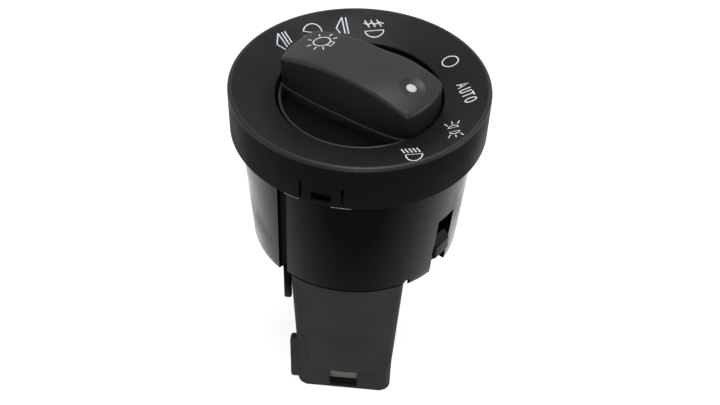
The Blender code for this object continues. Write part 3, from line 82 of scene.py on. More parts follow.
@dataclass(frozen=True)
class Layout:
    """Heights and radii that two or more sub-assemblies have in common."""

    rim_top: float = 107.0 * MM
    rim_foot: float = 92.5 * MM
    rim_radius: float = 38.0 * MM
    rim_fillet: float = 1.0 * MM
    face_edge: float = 103.0 * MM
    well_radius: float = 24.5 * MM
    well_edge: float = 0.4 * MM
    barrel_foot: float = 53.0 * MM
    foot_skirt: float = 1.3 * MM
    barrel_top_radius: float = 35.0 * MM
    barrel_foot_radius: float = 32.7 * MM
    tongue_azimuths: Triple = (-100.5, 19.5, 139.5)
    lug_azimuths: Point = (-33.5, 146.5)
    nose_azimuths: Triple = (32.0, 88.0, 192.0)
    pointer_azimuth: float = -28.0
    plate_foot: float = 53.8 * MM
    plate_top: float = 56.2 * MM

    def plate_middle(self) -> float:
        """Height of the middle of the rear housing's plate."""
        return (self.plate_foot + self.plate_top) / 2

    def face_slope(self) -> float:
        """The dished face's slope, as an angle.

        Returns:
            The angle in radians.
        """
        run = self.rim_radius - self.rim_fillet - self.well_radius - self.well_edge
        rise = self.rim_top - self.rim_fillet - self.face_edge
        return math.atan2(rise, run) + math.asin(self.rim_fillet / math.hypot(run, rise))

    def face_height(self, radius: float) -> float:
        """Height of the dished face at a radius."""
        run = radius - self.well_radius - self.well_edge
        return self.face_edge + run * math.tan(self.face_slope())

    def barrel_radius(self, height: float) -> float:
        """The barrel's outer radius at a height."""
        share = (height - self.barrel_foot) / (self.rim_foot - self.barrel_foot)
        return self.barrel_foot_radius + (self.barrel_top_radius - self.barrel_foot_radius) * share


LAYOUT = Layout()


# Modelling helpers


def polar(radius: float, azimuth: float, height: float = 0.0) -> Vector:
    """A point given by its radius, its azimuth in degrees and its height."""
    turn = math.radians(azimuth)
    return Vector((radius * math.cos(turn), radius * math.sin(turn), height))


def rounded(corners: list[Triple], segments: int = 6) -> list[Point]:
    """Rounds the corners of a closed outline.

    Args:
        corners: each corner as (x, y, radius), where a radius of 0 stays sharp.
        segments: edges in each rounded corner.

    Returns:
        The points of the outline, in the same order.
    """
    points: list[Point] = []
    for index, (x, y, radius) in enumerate(corners):
        here = Vector((x, y))
        if radius <= 0:
            points.append((x, y))
            continue
        back = (Vector(corners[index - 1][:2]) - here).normalized()
        onward = (Vector(corners[(index + 1) % len(corners)][:2]) - here).normalized()
        half = back.angle(onward) / 2
        centre = here + (back + onward).normalized() * radius / math.sin(half)
        first = here + back * radius / math.tan(half) - centre
        last = here + onward * radius / math.tan(half) - centre
        sweep = first.angle(last)
        for step in range(segments + 1):
            share = step / segments
            near, far = math.sin((1 - share) * sweep), math.sin(share * sweep)
            spot = centre + (first * near + last * far) / math.sin(sweep)
            points.append((spot.x, spot.y))
    return points


def placed(name: str, data: ID) -> Object:
    """Puts an object with some data into the scene.

    Args:
        name: the object's name.
        data: its mesh, curve, lamp or camera.

    Returns:
        The new object.
    """
    obj = bpy.data.objects.new(name, data)
    bpy.context.scene.collection.objects.link(obj)
    return obj


def smoothed(name: str, mesh: Mesh, crease: float = CREASE) -> Object:
    """Makes an object of a mesh, with its round faces smooth.

    Args:
        name: the piece's name.
        mesh: its shape.
        crease: the angle in degrees from which an edge stays sharp.

    Returns:
        The object, at the origin.
    """
    mesh.shade_smooth()
    mesh.set_sharp_from_angle(angle=math.radians(crease))
    return placed(name, mesh)


def piece(name: str, bm: BMesh) -> Object:
    """Makes an object of a bmesh, which is used up, with its faces pointing out.

    Args:
        name: the piece's name.
        bm: its shape.

    Returns:
        The object, at the origin.
    """
    bmesh.ops.remove_doubles(bm, verts=bm.verts, dist=1e-7)
    bmesh.ops.recalc_face_normals(bm, faces=bm.faces)
    mesh = bpy.data.meshes.new(name)
    bm.to_mesh(mesh)
    bm.free()
    return smoothed(name, mesh)


def spun(name: str, outline: list[Point], loop: bool = True, steps: int = 256) -> Object:
    """Turns an outline of (radius, height) points once round the axis.

    Args:
        name: the piece's name.
        outline: the points, from the axis to the axis when loop is False.
        loop: whether the last point joins the first.
        steps: facets round the axis.

    Returns:
        The turned piece.
    """
    bm = bmesh.new()
    verts = [bm.verts.new((radius, 0.0, height)) for radius, height in outline]
    pairs = list(zip(verts, verts[1:])) + ([(verts[-1], verts[0])] if loop else [])
    edges = [bm.edges.new(pair) for pair in pairs]
    turn = {"axis": (0, 0, 1), "cent": (0, 0, 0), "dvec": (0, 0, 0), "angle": 2 * math.pi}
    bmesh.ops.spin(bm, geom=verts + edges, steps=steps, use_merge=True, **turn)
    return piece(name, bm)


def rounding(bm: BMesh, edges: list[BMEdge], width: float) -> None:
    """Rounds some edges of a shape."""
    shape = {"affect": "EDGES", "segments": 3, "profile": 0.5, "material": -1, "clamp_overlap": True}
    bmesh.ops.bevel(bm, geom=edges, offset=width, **shape)


def swing(bm: BMesh, degrees: float, axis: str = "Z") -> None:
    """Turns a shape about an axis."""
    bmesh.ops.rotate(bm, matrix=Matrix.Rotation(math.radians(degrees), 3, axis), verts=bm.verts)


def rise_of(edge: BMEdge) -> float:
    """How far an edge climbs."""
    return abs(edge.verts[0].co.z - edge.verts[1].co.z)


def block(
    name: str, size: Triple, centre: Triple, azimuth: float = 0.0, bevel: float = EDGE_BREAK
) -> Object:
    """A box, turned about the axis together with its centre.

    Args:
        name: the piece's name.
        size: its three sizes.
        centre: its middle before the turn.
        azimuth: the turn in degrees.
        bevel: how far its edges are rounded.

    Returns:
        The box.
    """
    bm = bmesh.new()
    bmesh.ops.create_cube(bm, size=1.0)
    bmesh.ops.scale(bm, vec=size, verts=bm.verts)
    if bevel > 0:
        rounding(bm, list(bm.edges), bevel)
    bmesh.ops.translate(bm, vec=centre, verts=bm.verts)
    swing(bm, azimuth)
    return piece(name, bm)


def stood_up(name: str, outline: list[Point], width: float, azimuth: float, bevel: float) -> Object:
    """A plate that stands on edge and points away from the axis.

    Args:
        name: the piece's name.
        outline: its points as (radius, height).
        width: its width across the radius.
        azimuth: where it points, in degrees.
        bevel: how far its edges are rounded.

    Returns:
        The piece.
    """
    bm = bmesh.new()
    face = bm.faces.new([bm.verts.new((x, y, -width / 2)) for x, y in outline])
    grown = bmesh.ops.extrude_face_region(bm, geom=[face])["geom"]
    moved = [item for item in grown if isinstance(item, BMVert)]
    bmesh.ops.translate(bm, vec=(0, 0, width), verts=moved)
    rounding(bm, [edge for edge in bm.edges if rise_of(edge) < 1e-9], bevel)
    obj = piece(name, bm)
    obj.data.transform(Matrix.Rotation(math.radians(azimuth), 4, "Z") @ Matrix.Rotation(math.pi / 2, 4, "X"))
    return obj


def peg(name: str, radius: float, bottom: float, top: float) -> Object:
    """A round peg on the axis.

    Args:
        name: the peg's name.
        radius: its radius.
        bottom: the height of its foot.
        top: the height of its end.

    Returns:
        The peg.
    """
    bm = bmesh.new()
    size = {"radius1": radius, "radius2": radius, "depth": top - bottom}
    middle = Matrix.Translation((0.0, 0.0, (bottom + top) / 2))
    bmesh.ops.create_cone(bm, cap_ends=True, segments=48, matrix=middle, **size)
    return piece(name, bm)


def settled(obj: Object, crease: float = CREASE) -> Object:
    """Turns a piece's modifiers or its curve into a plain mesh.

    Args:
        obj: the piece.
        crease: the angle in degrees from which an edge stays sharp.

    Returns:
        The piece, as a mesh object of the same name.
    """
    name = obj.name
    bpy.context.view_layer.update()
    drawn = obj.evaluated_get(bpy.context.evaluated_depsgraph_get())
    mesh = bpy.data.meshes.new_from_object(drawn)
    bpy.data.objects.remove(obj, do_unlink=True)
    mesh.name = name
    return smoothed(name, mesh, crease)


def wired(
    name: str, strokes: list[tuple[list[Triple], bool]], radius: float, resolution: int = 3
) -> Object:
    """A round wire along some strokes.

    Args:
        name: the piece's name.
        strokes: the points of each middle line, and whether its ends meet.
        radius: the wire's radius.
        resolution: how finely it is rounded.

    Returns:
        The wire as a mesh.
    """
    curve = bpy.data.curves.new(name, "CURVE")
    curve.dimensions = "3D"
    curve.bevel_depth = radius
    curve.bevel_resolution = resolution
    curve.use_fill_caps = True
    for points, closed in strokes:
        spline = curve.splines.new("POLY")
        spline.points.add(len(points) - 1)
        for spot, point in zip(spline.points, points):
            spot.co = (*point, 1.0)
        spline.use_cyclic_u = closed
    return settled(placed(name, curve), WIRE_CREASE)


def combined(obj: Object, tools: list[Object], operation: str) -> Object:
    """Cuts a piece with some tools, or joins them to it.

    Args:
        obj: the piece.
        tools: the other shapes, which are used up.
        operation: DIFFERENCE, UNION or INTERSECT.

    Returns:
        The piece as one mesh.
    """
    for tool in tools:
        step = obj.modifiers.new(tool.name, "BOOLEAN")
        step.operation = operation
        step.solver = "EXACT"
        step.object = tool
    result = settled(obj)
    for tool in tools:
        bpy.data.objects.remove(tool, do_unlink=True)
    return result


def turned_to(obj: Object, azimuth: float) -> Object:
    """Turns a piece's mesh about the axis, in degrees."""
    obj.data.transform(Matrix.Rotation(math.radians(azimuth), 4, "Z"))
    return obj


# Shader nodes, and the groups that several finishes use


def filled(tree: NodeTree, node: Node, inputs: dict[str | int, object]) -> None:
    """Gives each of a node's inputs its value, or links it to an output.

    Args:
        tree: the node tree.
        node: the node to fill.
        inputs: values or outputs, by the input's name or number.
    """
    for label, value in inputs.items():
        if isinstance(value, NodeSocket):
            tree.links.new(value, node.inputs[label])
        else:
            node.inputs[label].default_value = value


def shader_node(
    tree: NodeTree, kind: str, inputs: dict[str | int, object], **settings: object
) -> Node:
    """Adds a shader node.

    Args:
        tree: the node tree.
        kind: the node's type, without the words that every shader node starts with.
        inputs: its inputs, each with a value or with the output that is linked to it.
        settings: its other settings.

    Returns:
        The node.
    """
    node = tree.nodes.new(f"ShaderNode{kind}")
    for name, value in settings.items():
        setattr(node, name, value)
    filled(tree, node, inputs)
    return node


def maths(tree: NodeTree, operation: str, *values: object, kind: str = "Math") -> NodeSocket:
    """The result of a sum of some values, each a number, a vector or an output."""
    return shader_node(tree, kind, dict(enumerate(values)), operation=operation).outputs[0]


def ranged(tree: NodeTree, value: object, **ends: float) -> NodeSocket:
    """A value carried from one range to another, with their ends named as in from_min and to_max."""
    inputs = {label.replace("_", " ").title(): end for label, end in ends.items()}
    return shader_node(tree, "MapRange", {"Value": value, **inputs}).outputs["Result"]


def scaled_place(tree: NodeTree, scale: object) -> NodeSocket:
    """The object's coordinates times a scale."""
    place = shader_node(tree, "TexCoord", {}).outputs["Object"]
    return shader_node(tree, "VectorMath", {0: place, "Scale": scale}, operation="SCALE").outputs[0]


def noise(tree: NodeTree, vector: object, scale: float, detail: float) -> NodeSocket:
    """A soft noise on a vector."""
    return shader_node(tree, "TexNoise", {"Vector": vector, "Scale": scale, "Detail": detail}).outputs["Fac"]


def mixed(tree: NodeTree, share: object, first: object, second: object) -> NodeSocket:
    """A colour that changes to another one where a mask is high."""
    return shader_node(tree, "Mix", {"Factor": share, 6: first, 7: second}, data_type="RGBA").outputs[2]


class Groups:
    """The shader groups for grain, handling marks and drawn metal, each built once."""

    def __init__(self) -> None:
        """Builds the groups."""
        self.grain = self._grain()
        self.handling = self._handling()
        self.drawn = self._drawn()

    @staticmethod
    def _started(name: str, inputs: dict[str, float]) -> tuple[NodeTree, object]:
        """A new group with float inputs and their first values.

        Args:
            name: the group's name.
            inputs: the inputs' first values, by name.

        Returns:
            The group and the outputs of its input node.
        """
        tree = bpy.data.node_groups.new(name, "ShaderNodeTree")
        for label, value in inputs.items():
            socket = tree.interface.new_socket(name=label, in_out="INPUT", socket_type="NodeSocketFloat")
            socket.default_value = value
        return tree, tree.nodes.new("NodeGroupInput").outputs

    @staticmethod
    def _ended(tree: NodeTree, outputs: dict[str, NodeSocket]) -> NodeTree:
        """Gives a group its outputs.

        Args:
            tree: the group.
            outputs: what it puts out, by name.

        Returns:
            The group.
        """
        for label in outputs:
            tree.interface.new_socket(name=label, in_out="OUTPUT", socket_type="NodeSocketFloat")
        filled(tree, tree.nodes.new("NodeGroupOutput"), outputs)
        return tree

    def _grain(self) -> NodeTree:
        """The moulded grain: small rounded bumps with a finer roughness over them.

        Returns:
            The group, with a height and a shade.
        """
        tree, given = self._started("moulded_grain", {"Scale": 2600.0})
        vector = scaled_place(tree, given["Scale"])
        bumps = shader_node(tree, "TexVoronoi", {"Vector": vector, "Scale": 1.0}, feature="SMOOTH_F1")
        fine = noise(tree, vector, 2.3, 4.0)
        height = maths(tree, "MULTIPLY_ADD", bumps.outputs["Distance"], 0.6, fine)
        return self._ended(tree, {"Height": height, "Shade": fine})

    def _handling(self) -> NodeTree:
        """Handling marks: soft smudges, and sparse dust.

        Returns:
            The group, with the smudges and the dust.
        """
        tree, given = self._started("handling_marks", {"Smudge Scale": 60.0, "Dust Scale": 420.0})
        soft = noise(tree, scaled_place(tree, given["Smudge Scale"]), 1.0, 3.0)
        place = scaled_place(tree, given["Dust Scale"])
        specks = shader_node(tree, "TexVoronoi", {"Vector": place, "Scale": 1.0}).outputs["Distance"]
        dust = maths(tree, "LESS_THAN", specks, 0.07)
        return self._ended(tree, {"Smudge": ranged(tree, soft, from_min=0.38, from_max=0.68), "Dust": dust})

    def _drawn(self) -> NodeTree:
        """Drawn and rolled metal: fine lines along the height, with light tarnish.

        Returns:
            The group, with a height and a shade.
        """
        tree, given = self._started("drawn_metal", {"Scale": 900.0})
        vector = scaled_place(tree, given["Scale"])
        squeezed = maths(tree, "MULTIPLY", vector, (1.0, 1.0, 0.06), kind="VectorMath")
        lines, tarnish = noise(tree, squeezed, 4.0, 3.0), noise(tree, vector, 0.35, 3.0)
        return self._ended(tree, {"Height": lines, "Shade": tarnish})


class Texture(Enum):
    """The kinds of surface that the finishes have."""

    GRAINED = "grained"
    DRAWN = "drawn"
    WOVEN = "woven"


@dataclass(frozen=True)
class Finish:
    """One finish: its slot in the record, its colour, its gloss and how its surface is textured."""

    name: str
    slot: str
    colour: Triple
    roughness: float
    texture: Texture = Texture.GRAINED
    spread: float = 0.08
    tint: float = 0.25
    scale: float = 2600.0
    bump: float = 0.15
    dust: float = 0.0
    metallic: float = 0.0
    transmission: float = 0.0
    specular: float = 0.5
    edge_gloss: float = 0.0

    def material(self, groups: Groups) -> Material:
        """Builds the finish from the shader groups.

        Args:
            groups: the groups that the finishes share.

        Returns:
            The material.
        """
        material = bpy.data.materials.new(self.name)
        material.use_nodes = True
        tree = material.node_tree
        marks = shader_node(tree, "Group", {}, node_tree=groups.handling).outputs
        height, shade = self._relief(tree, groups)
        bump = shader_node(tree, "Bump", {"Strength": self.bump, "Distance": GRAIN_DEPTH, "Height": height})
        inputs = {
            "Base Color": self._colour(tree, shade, marks["Dust"]),
            "Metallic": self.metallic,
            "Roughness": self._roughness(tree, marks["Smudge"]),
            "Normal": bump.outputs["Normal"],
            "Specular IOR Level": self._specular(tree),
            "Transmission Weight": self.transmission,
        }
        filled(tree, tree.nodes["Principled BSDF"], inputs)
        return material

    def _relief(self, tree: NodeTree, groups: Groups) -> tuple[object, object]:
        """The height and the shade of the surface: its grain, its drawn lines or a board's glass cloth.

        Args:
            tree: the material's tree.
            groups: the groups that the finishes share.

        Returns:
            The outputs that hold the height and the shade.
        """
        if self.texture is Texture.WOVEN:
            place = shader_node(tree, "TexCoord", {}).outputs["Object"]
            cloth = {"Vector": place, "Scale": self.scale, "Mortar Size": 0.03}
            weave = shader_node(tree, "TexBrick", cloth).outputs["Fac"]
            return weave, weave
        group = groups.drawn if self.texture is Texture.DRAWN else groups.grain
        relief = shader_node(tree, "Group", {}, node_tree=group)
        relief.inputs["Scale"].default_value = self.scale
        return relief.outputs["Height"], relief.outputs["Shade"]

    def _specular(self, tree: NodeTree) -> object:
        """How much the finish reflects, which may grow where it turns away from the eye.

        Args:
            tree: the material's tree.

        Returns:
            A plain value, or an output that changes with the angle.
        """
        if self.edge_gloss == 0:
            return self.specular
        facing = shader_node(tree, "LayerWeight", {}).outputs["Facing"]
        ends = {"to_min": self.specular, "to_max": self.edge_gloss}
        return ranged(tree, facing, from_min=0.36, from_max=0.75, **ends)

    def _colour(self, tree: NodeTree, shade: object, dust: object) -> object:
        """The finish's colour, a little uneven, with dust where it has some.

        Args:
            tree: the material's tree.
            shade: where the colour is lighter or darker.
            dust: where dust lies.

        Returns:
            The output that holds the colour.
        """
        tones = [[min(1.0, part * (1 + way * self.tint)) for part in self.colour] for way in (-1, 1)]
        uneven = mixed(tree, shade, (*tones[0], 1.0), (*tones[1], 1.0))
        if self.dust > 0:
            uneven = mixed(tree, maths(tree, "MULTIPLY", dust, self.dust), uneven, DUST_COLOUR)
        return uneven

    def _roughness(self, tree: NodeTree, smudge: object) -> object:
        """The finish's roughness, a little higher where it has been handled."""
        smoothest = max(0.02, self.roughness - self.spread)
        return ranged(tree, smudge, to_min=smoothest, to_max=self.roughness + self.spread)


FACE_BLACK = Finish(
    "face_black", "soft_black_plastic", (0.0065, 0.0066, 0.0076), 0.47, scale=3800, bump=0.2, specular=0.08
)
# Painted shade: a darker copy of the face's black for the rim's side, so that the side renders darker.
RIM_SHADE_BLACK = Finish(
    "rim_painted_shade", "soft_black_plastic", (0.004, 0.004, 0.0046), 0.5, scale=3800, bump=0.2, specular=0.03
)
# Painted highlight: a lighter, glossier copy of the face's black along the rim's rounded upper edge.
EDGE_HIGHLIGHT_BLACK = Finish(
    "edge_painted_highlight", "soft_black_plastic", (0.011, 0.011, 0.0125), 0.38, scale=3800, specular=0.17
)
GRIP_BLACK = Finish(
    "grip_black", "grip_black_plastic", (0.0155, 0.0155, 0.0165), 0.44, scale=4200, bump=0.2, specular=0.17
)
# Painted shade: a darker, duller copy of the knob's black, laid in the knob's dish and in the barrel's groove.
RECESS_SHADE_BLACK = Finish(
    "recess_painted_shade", "grip_black_plastic", (0.0022, 0.0022, 0.0025), 0.6, scale=4200, bump=0.2, specular=0.035
)
BARREL_BLACK = Finish(
    "barrel_black",
    "gloss_black_plastic",
    (0.0013, 0.0013, 0.0015),
    0.24,
    spread=0.12,
    tint=0.2,
    scale=2400,
    bump=0.12,
    dust=0.05,
    specular=0.02,
    edge_gloss=0.22,
)
LUG_DARK = Finish(
    "lug_dark", "dark_grey_plastic", (0.004, 0.004, 0.0044), 0.4, scale=3000, bump=0.2, specular=0.08
)
TOWER_GREY = Finish(
    "tower_grey", "dark_grey_plastic", (0.023, 0.023, 0.0235), 0.62, scale=3000, bump=0.35, specular=0.12
)
BLOCK_GREY = Finish("block_brown_grey", "brown_grey_plastic", (0.2, 0.18, 0.152), 0.55, scale=2200, bump=0.2)
INNER_WHITE = Finish(
    "inner_white", "white_plastic", (0.72, 0.72, 0.69), 0.42, tint=0.05, scale=1800, bump=0.08
)
MILKY_RING = Finish(
    "milky_ring", "milky_plastic", (0.85, 0.87, 0.88), 0.3, tint=0.04, bump=0.05, transmission=0.5
)
LENS_WHITE = Finish("lens_white", "lens_white", (0.44, 0.44, 0.45), 0.4, tint=0.03, bump=0.04, specular=0.2)
METAL = {"texture": Texture.DRAWN, "spread": 0.1, "metallic": 1.0}
STEEL = Finish(
    "spring_steel_wire", "spring_steel", (0.56, 0.56, 0.57), 0.3, tint=0.2, scale=900, bump=0.2, **METAL
)
COPPER = Finish("contact_strip_copper", "contact_copper", (0.8, 0.45, 0.26), 0.32, scale=800, **METAL)
TINNED = Finish("tinned_blade", "tinned_copper", (0.68, 0.68, 0.66), 0.35, tint=0.15, scale=700, **METAL)
BOARD = Finish(
    "board_lacquer", "board_green", (0.03, 0.15, 0.065), 0.35, Texture.WOVEN, tint=0.3, scale=900, bump=0.2
)
INK_WHITE = Finish("mark_white", "lens_white", (0.56, 0.57, 0.59), 0.6, tint=0.06, scale=3800, bump=0.1)
INK_BLUISH = Finish("mark_bluish", "lens_white", (0.5, 0.54, 0.6), 0.6, tint=0.06, scale=3800, bump=0.1)
FLASH_GREY = Finish("trimmed_edge", "soft_black_plastic", (0.3, 0.3, 0.31), 0.5, scale=3000)


class Paintbox:
    """Every finish as a material, built when it is first asked for."""

    def __init__(self) -> None:
        """Builds the shader groups."""
        self.groups = Groups()
        self.made: dict[str, Material] = {}

    def material(self, finish: Finish) -> Material:
        """The material of a finish.

        Args:
            finish: the finish.

        Returns:
            Its material, made once.
        """
        if finish.name not in self.made:
            self.made[finish.name] = finish.material(self.groups)
        return self.made[finish.name]

    def dress(self, obj: Object, finish: Finish) -> Object:
        """Gives a piece one finish.

        Args:
            obj: the piece.
            finish: its finish.

        Returns:
            The piece.
        """
        obj.data.materials.clear()
        obj.data.materials.append(self.material(finish))
        return obj

    def dress_part(self, obj: Object, finish: Finish, inside: Callable[[Vector], bool]) -> None:
        """Gives some of a piece's faces another finish.

        Args:
            obj: the piece, already dressed.
            finish: the other finish.
            inside: says of a face's middle whether it gets that finish.
        """
        obj.data.materials.append(self.material(finish))
        index = len(obj.data.materials) - 1
        for face in obj.data.polygons:
            if inside(face.center):
                face.material_index = index

    def fit(self, obj: Object, finish: Finish, body: str, *nodes: str) -> Object:
        """Dresses a new piece and places it on a body.

        Args:
            obj: the piece.
            finish: its finish.
            body: the body that it rides on.
            nodes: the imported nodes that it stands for.

        Returns:
            The piece.
        """
        self.dress(obj, finish)
        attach(obj, body)
        if nodes:
            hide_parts(*nodes)
        LOG.info("%s: %d faces on %s", obj.name, len(obj.data.polygons), body)
        return obj


# Printed marks

Stroke = tuple[list[Point], bool]


def oval_stroke(x: float, half_width: float, half_height: float, steps: int = 48) -> Stroke:
    """A closed oval round a point of the mark's middle line."""
    turns = [2 * math.pi * step / steps for step in range(steps)]
    return [(x + half_width * math.cos(turn), half_height * math.sin(turn)) for turn in turns], True


def line_stroke(*points: Point) -> Stroke:
    """An open stroke through some points."""
    return list(points), False


def lamp_stroke(half: float, depth: float, flat: float = 0.0) -> Stroke:
    """A lamp's D shape, whose flat side stands at `flat` and whose dome points to its end at `depth`.

    Args:
        half: half the length of its flat side.
        depth: how far the dome reaches past the flat side, negative for the other way.
        flat: where the flat side stands.

    Returns:
        The closed stroke.
    """
    turns = [math.radians(-90 + 180 * step / 20) for step in range(21)]
    return [(flat + depth * math.cos(turn), half * math.sin(turn)) for turn in turns], True


def wave_stroke(x: float, reach: float, sway: float) -> Stroke:
    """A wavy stroke that crosses a lamp's rays."""
    heights = [reach * (step / 12 - 1) for step in range(25)]
    return [(x + sway * math.sin(2.6 * math.pi * height / reach), height) for height in heights], False


@dataclass(frozen=True)
class Mark:
    """One printed mark: where it stands, how it is turned, its strokes in millimetres and its ink."""

    name: str
    azimuth: float
    radius: float
    turn: float
    strokes: tuple[Stroke, ...]
    width: float = 0.42
    finish: Finish = INK_WHITE


class FaceMarks:
    """The marks round the dished face."""

    def catalogue(self) -> list[Mark]:
        """The marks of the face.

        Returns:
            The marks, each with its place.
        """
        return [
            Mark("mark_off_ring", 31.8, 30.1, -20.0, (oval_stroke(0.0, 2.08, 2.45),)),
            Mark("mark_auto", 2.1, 30.7, 16.0, self._letters(), 0.5),
            Mark("mark_side_lights", -30.9, 31.9, 41.0, self._side_lights(), 0.36),
            Mark("mark_dipped_beam", -59.2, 33.2, 63.4, self._dipped_beam(), 0.46),
            Mark("mark_front_fog", 86.5, 29.25, -76.6, self._front_fog()),
            Mark("mark_rear_fog", 123.9, 30.24, 61.0, self._rear_fog()),
            Mark("mark_arrow_two_bars", 105.0, 31.5, 0.0, self._arrow(2), 0.46, INK_BLUISH),
            Mark("mark_arrow_three_bars", 141.5, 31.5, 0.0, self._arrow(3), 0.46, INK_BLUISH),
        ]

    @staticmethod
    def _letters() -> tuple[Stroke, ...]:
        """The word AUTO in plain narrow capitals.

        Returns:
            The strokes, in millimetres.
        """
        bend = [math.radians(180 + 180 * step / 10) for step in range(11)]
        cup = [(-1.12 + 0.62 * math.cos(turn), -1.05 + 0.65 * math.sin(turn)) for turn in bend]
        return (
            line_stroke((-4.74, -1.7), (-3.88, 1.7), (-3.02, -1.7)),
            line_stroke((-4.44, -0.65), (-3.32, -0.65)),
            line_stroke((-1.74, 1.7), *cup, (-0.5, 1.7)),
            line_stroke((0.05, 1.7), (2.15, 1.7)),
            line_stroke((1.1, 1.7), (1.1, -1.7)),
            oval_stroke(3.85, 0.88, 1.7, 32),
        )

    @staticmethod
    def _side_lights() -> tuple[Stroke, ...]:
        """Two lamps back to back, each with three rays.

        Returns:
            The strokes, in millimetres.
        """
        strokes: list[Stroke] = []
        for way in (-1, 1):
            strokes.append(lamp_stroke(1.4, way * 1.2, way * 1.1))
            strokes.append(line_stroke((way * 2.95, 0.0), (way * 4.6, 0.0)))
            for side in (-1, 1):
                strokes.append(line_stroke((way * 2.6, side * 1.4), (way * 4.15, side * 2.1)))
        return tuple(strokes)

    @staticmethod
    def _dipped_beam() -> tuple[Stroke, ...]:
        """A lamp with five rays that slant down."""
        rays = [line_stroke((-1.15, 1.7 - 1.05 * row), (-3.9, 0.75 - 1.05 * row)) for row in range(5)]
        return (lamp_stroke(2.25, 4.05), *rays)

    @staticmethod
    def _front_fog() -> tuple[Stroke, ...]:
        """A lamp whose three slanting rays are crossed by a wave."""
        rays = [line_stroke((-1.35, 2.3 - 1.85 * row), (-4.15, 1.05 - 1.85 * row)) for row in range(3)]
        return (lamp_stroke(2.85, 2.45), *rays, wave_stroke(-2.8, 3.1, 0.28))

    @staticmethod
    def _rear_fog() -> tuple[Stroke, ...]:
        """A lamp whose three level rays are crossed by a wave."""
        rays = [line_stroke((-1.1, 1.6 - 1.6 * row), (-3.4, 1.6 - 1.6 * row)) for row in range(3)]
        return (lamp_stroke(2.9, 3.5), *rays, wave_stroke(-2.2, 2.6, 0.25))

    @staticmethod
    def _arrow(bars: int) -> tuple[Stroke, ...]:
        """A bent edge whose open side is closed by two or three bars.

        Args:
            bars: two or three.

        Returns:
            The strokes, in millimetres.
        """
        if bars == 2:
            edge = line_stroke((0.0, 2.55), (-2.25, -1.4), (-1.3, -3.4))
            return (edge, line_stroke((0.02, 2.5), (0.22, -3.66)), line_stroke((1.17, 2.44), (1.29, -3.9)))
        edge = line_stroke((-0.15, 3.05), (-3.3, -0.12), (-2.33, -3.0))
        return (
            edge,
            line_stroke((-0.12, 3.0), (-1.17, -2.53)),
            line_stroke((1.07, 2.77), (-0.01, -2.18)),
            line_stroke((2.17, 2.57), (1.15, -1.96)),
        )

    def build(self, paint: Paintbox) -> None:
        """Draws each mark on the dished face.

        Args:
            paint: the finishes.
        """
        level = math.cos(LAYOUT.face_slope())
        for mark in self.catalogue():
            obj = printed(mark)
            for vert in obj.data.vertices:
                x, y, lift = vert.co
                out = mark.radius * MM + y * level
                radius = math.hypot(out, x)
                azimuth = mark.azimuth - math.degrees(math.atan2(x, out))
                vert.co = polar(radius, azimuth, LAYOUT.face_height(radius) + lift)
            paint.fit(obj, mark.finish, "housing")


def printed(mark: Mark) -> Object:
    """Draws a mark as flat rounded strokes round its own origin.

    Args:
        mark: what is drawn, and how wide its strokes are.

    Returns:
        The mark, flat on the origin.
    """
    strokes = [([(x * MM, y * MM, 0.0) for x, y in points], closed) for points, closed in mark.strokes]
    obj = wired(mark.name, strokes, mark.width * MM / 2, 2)
    flat = Matrix.Diagonal((1.0, 1.0, 2 * INK_THICKNESS / (mark.width * MM), 1.0))
    obj.data.transform(Matrix.Rotation(math.radians(mark.turn), 4, "Z") @ flat)
    return obj


# Sub-assemblies


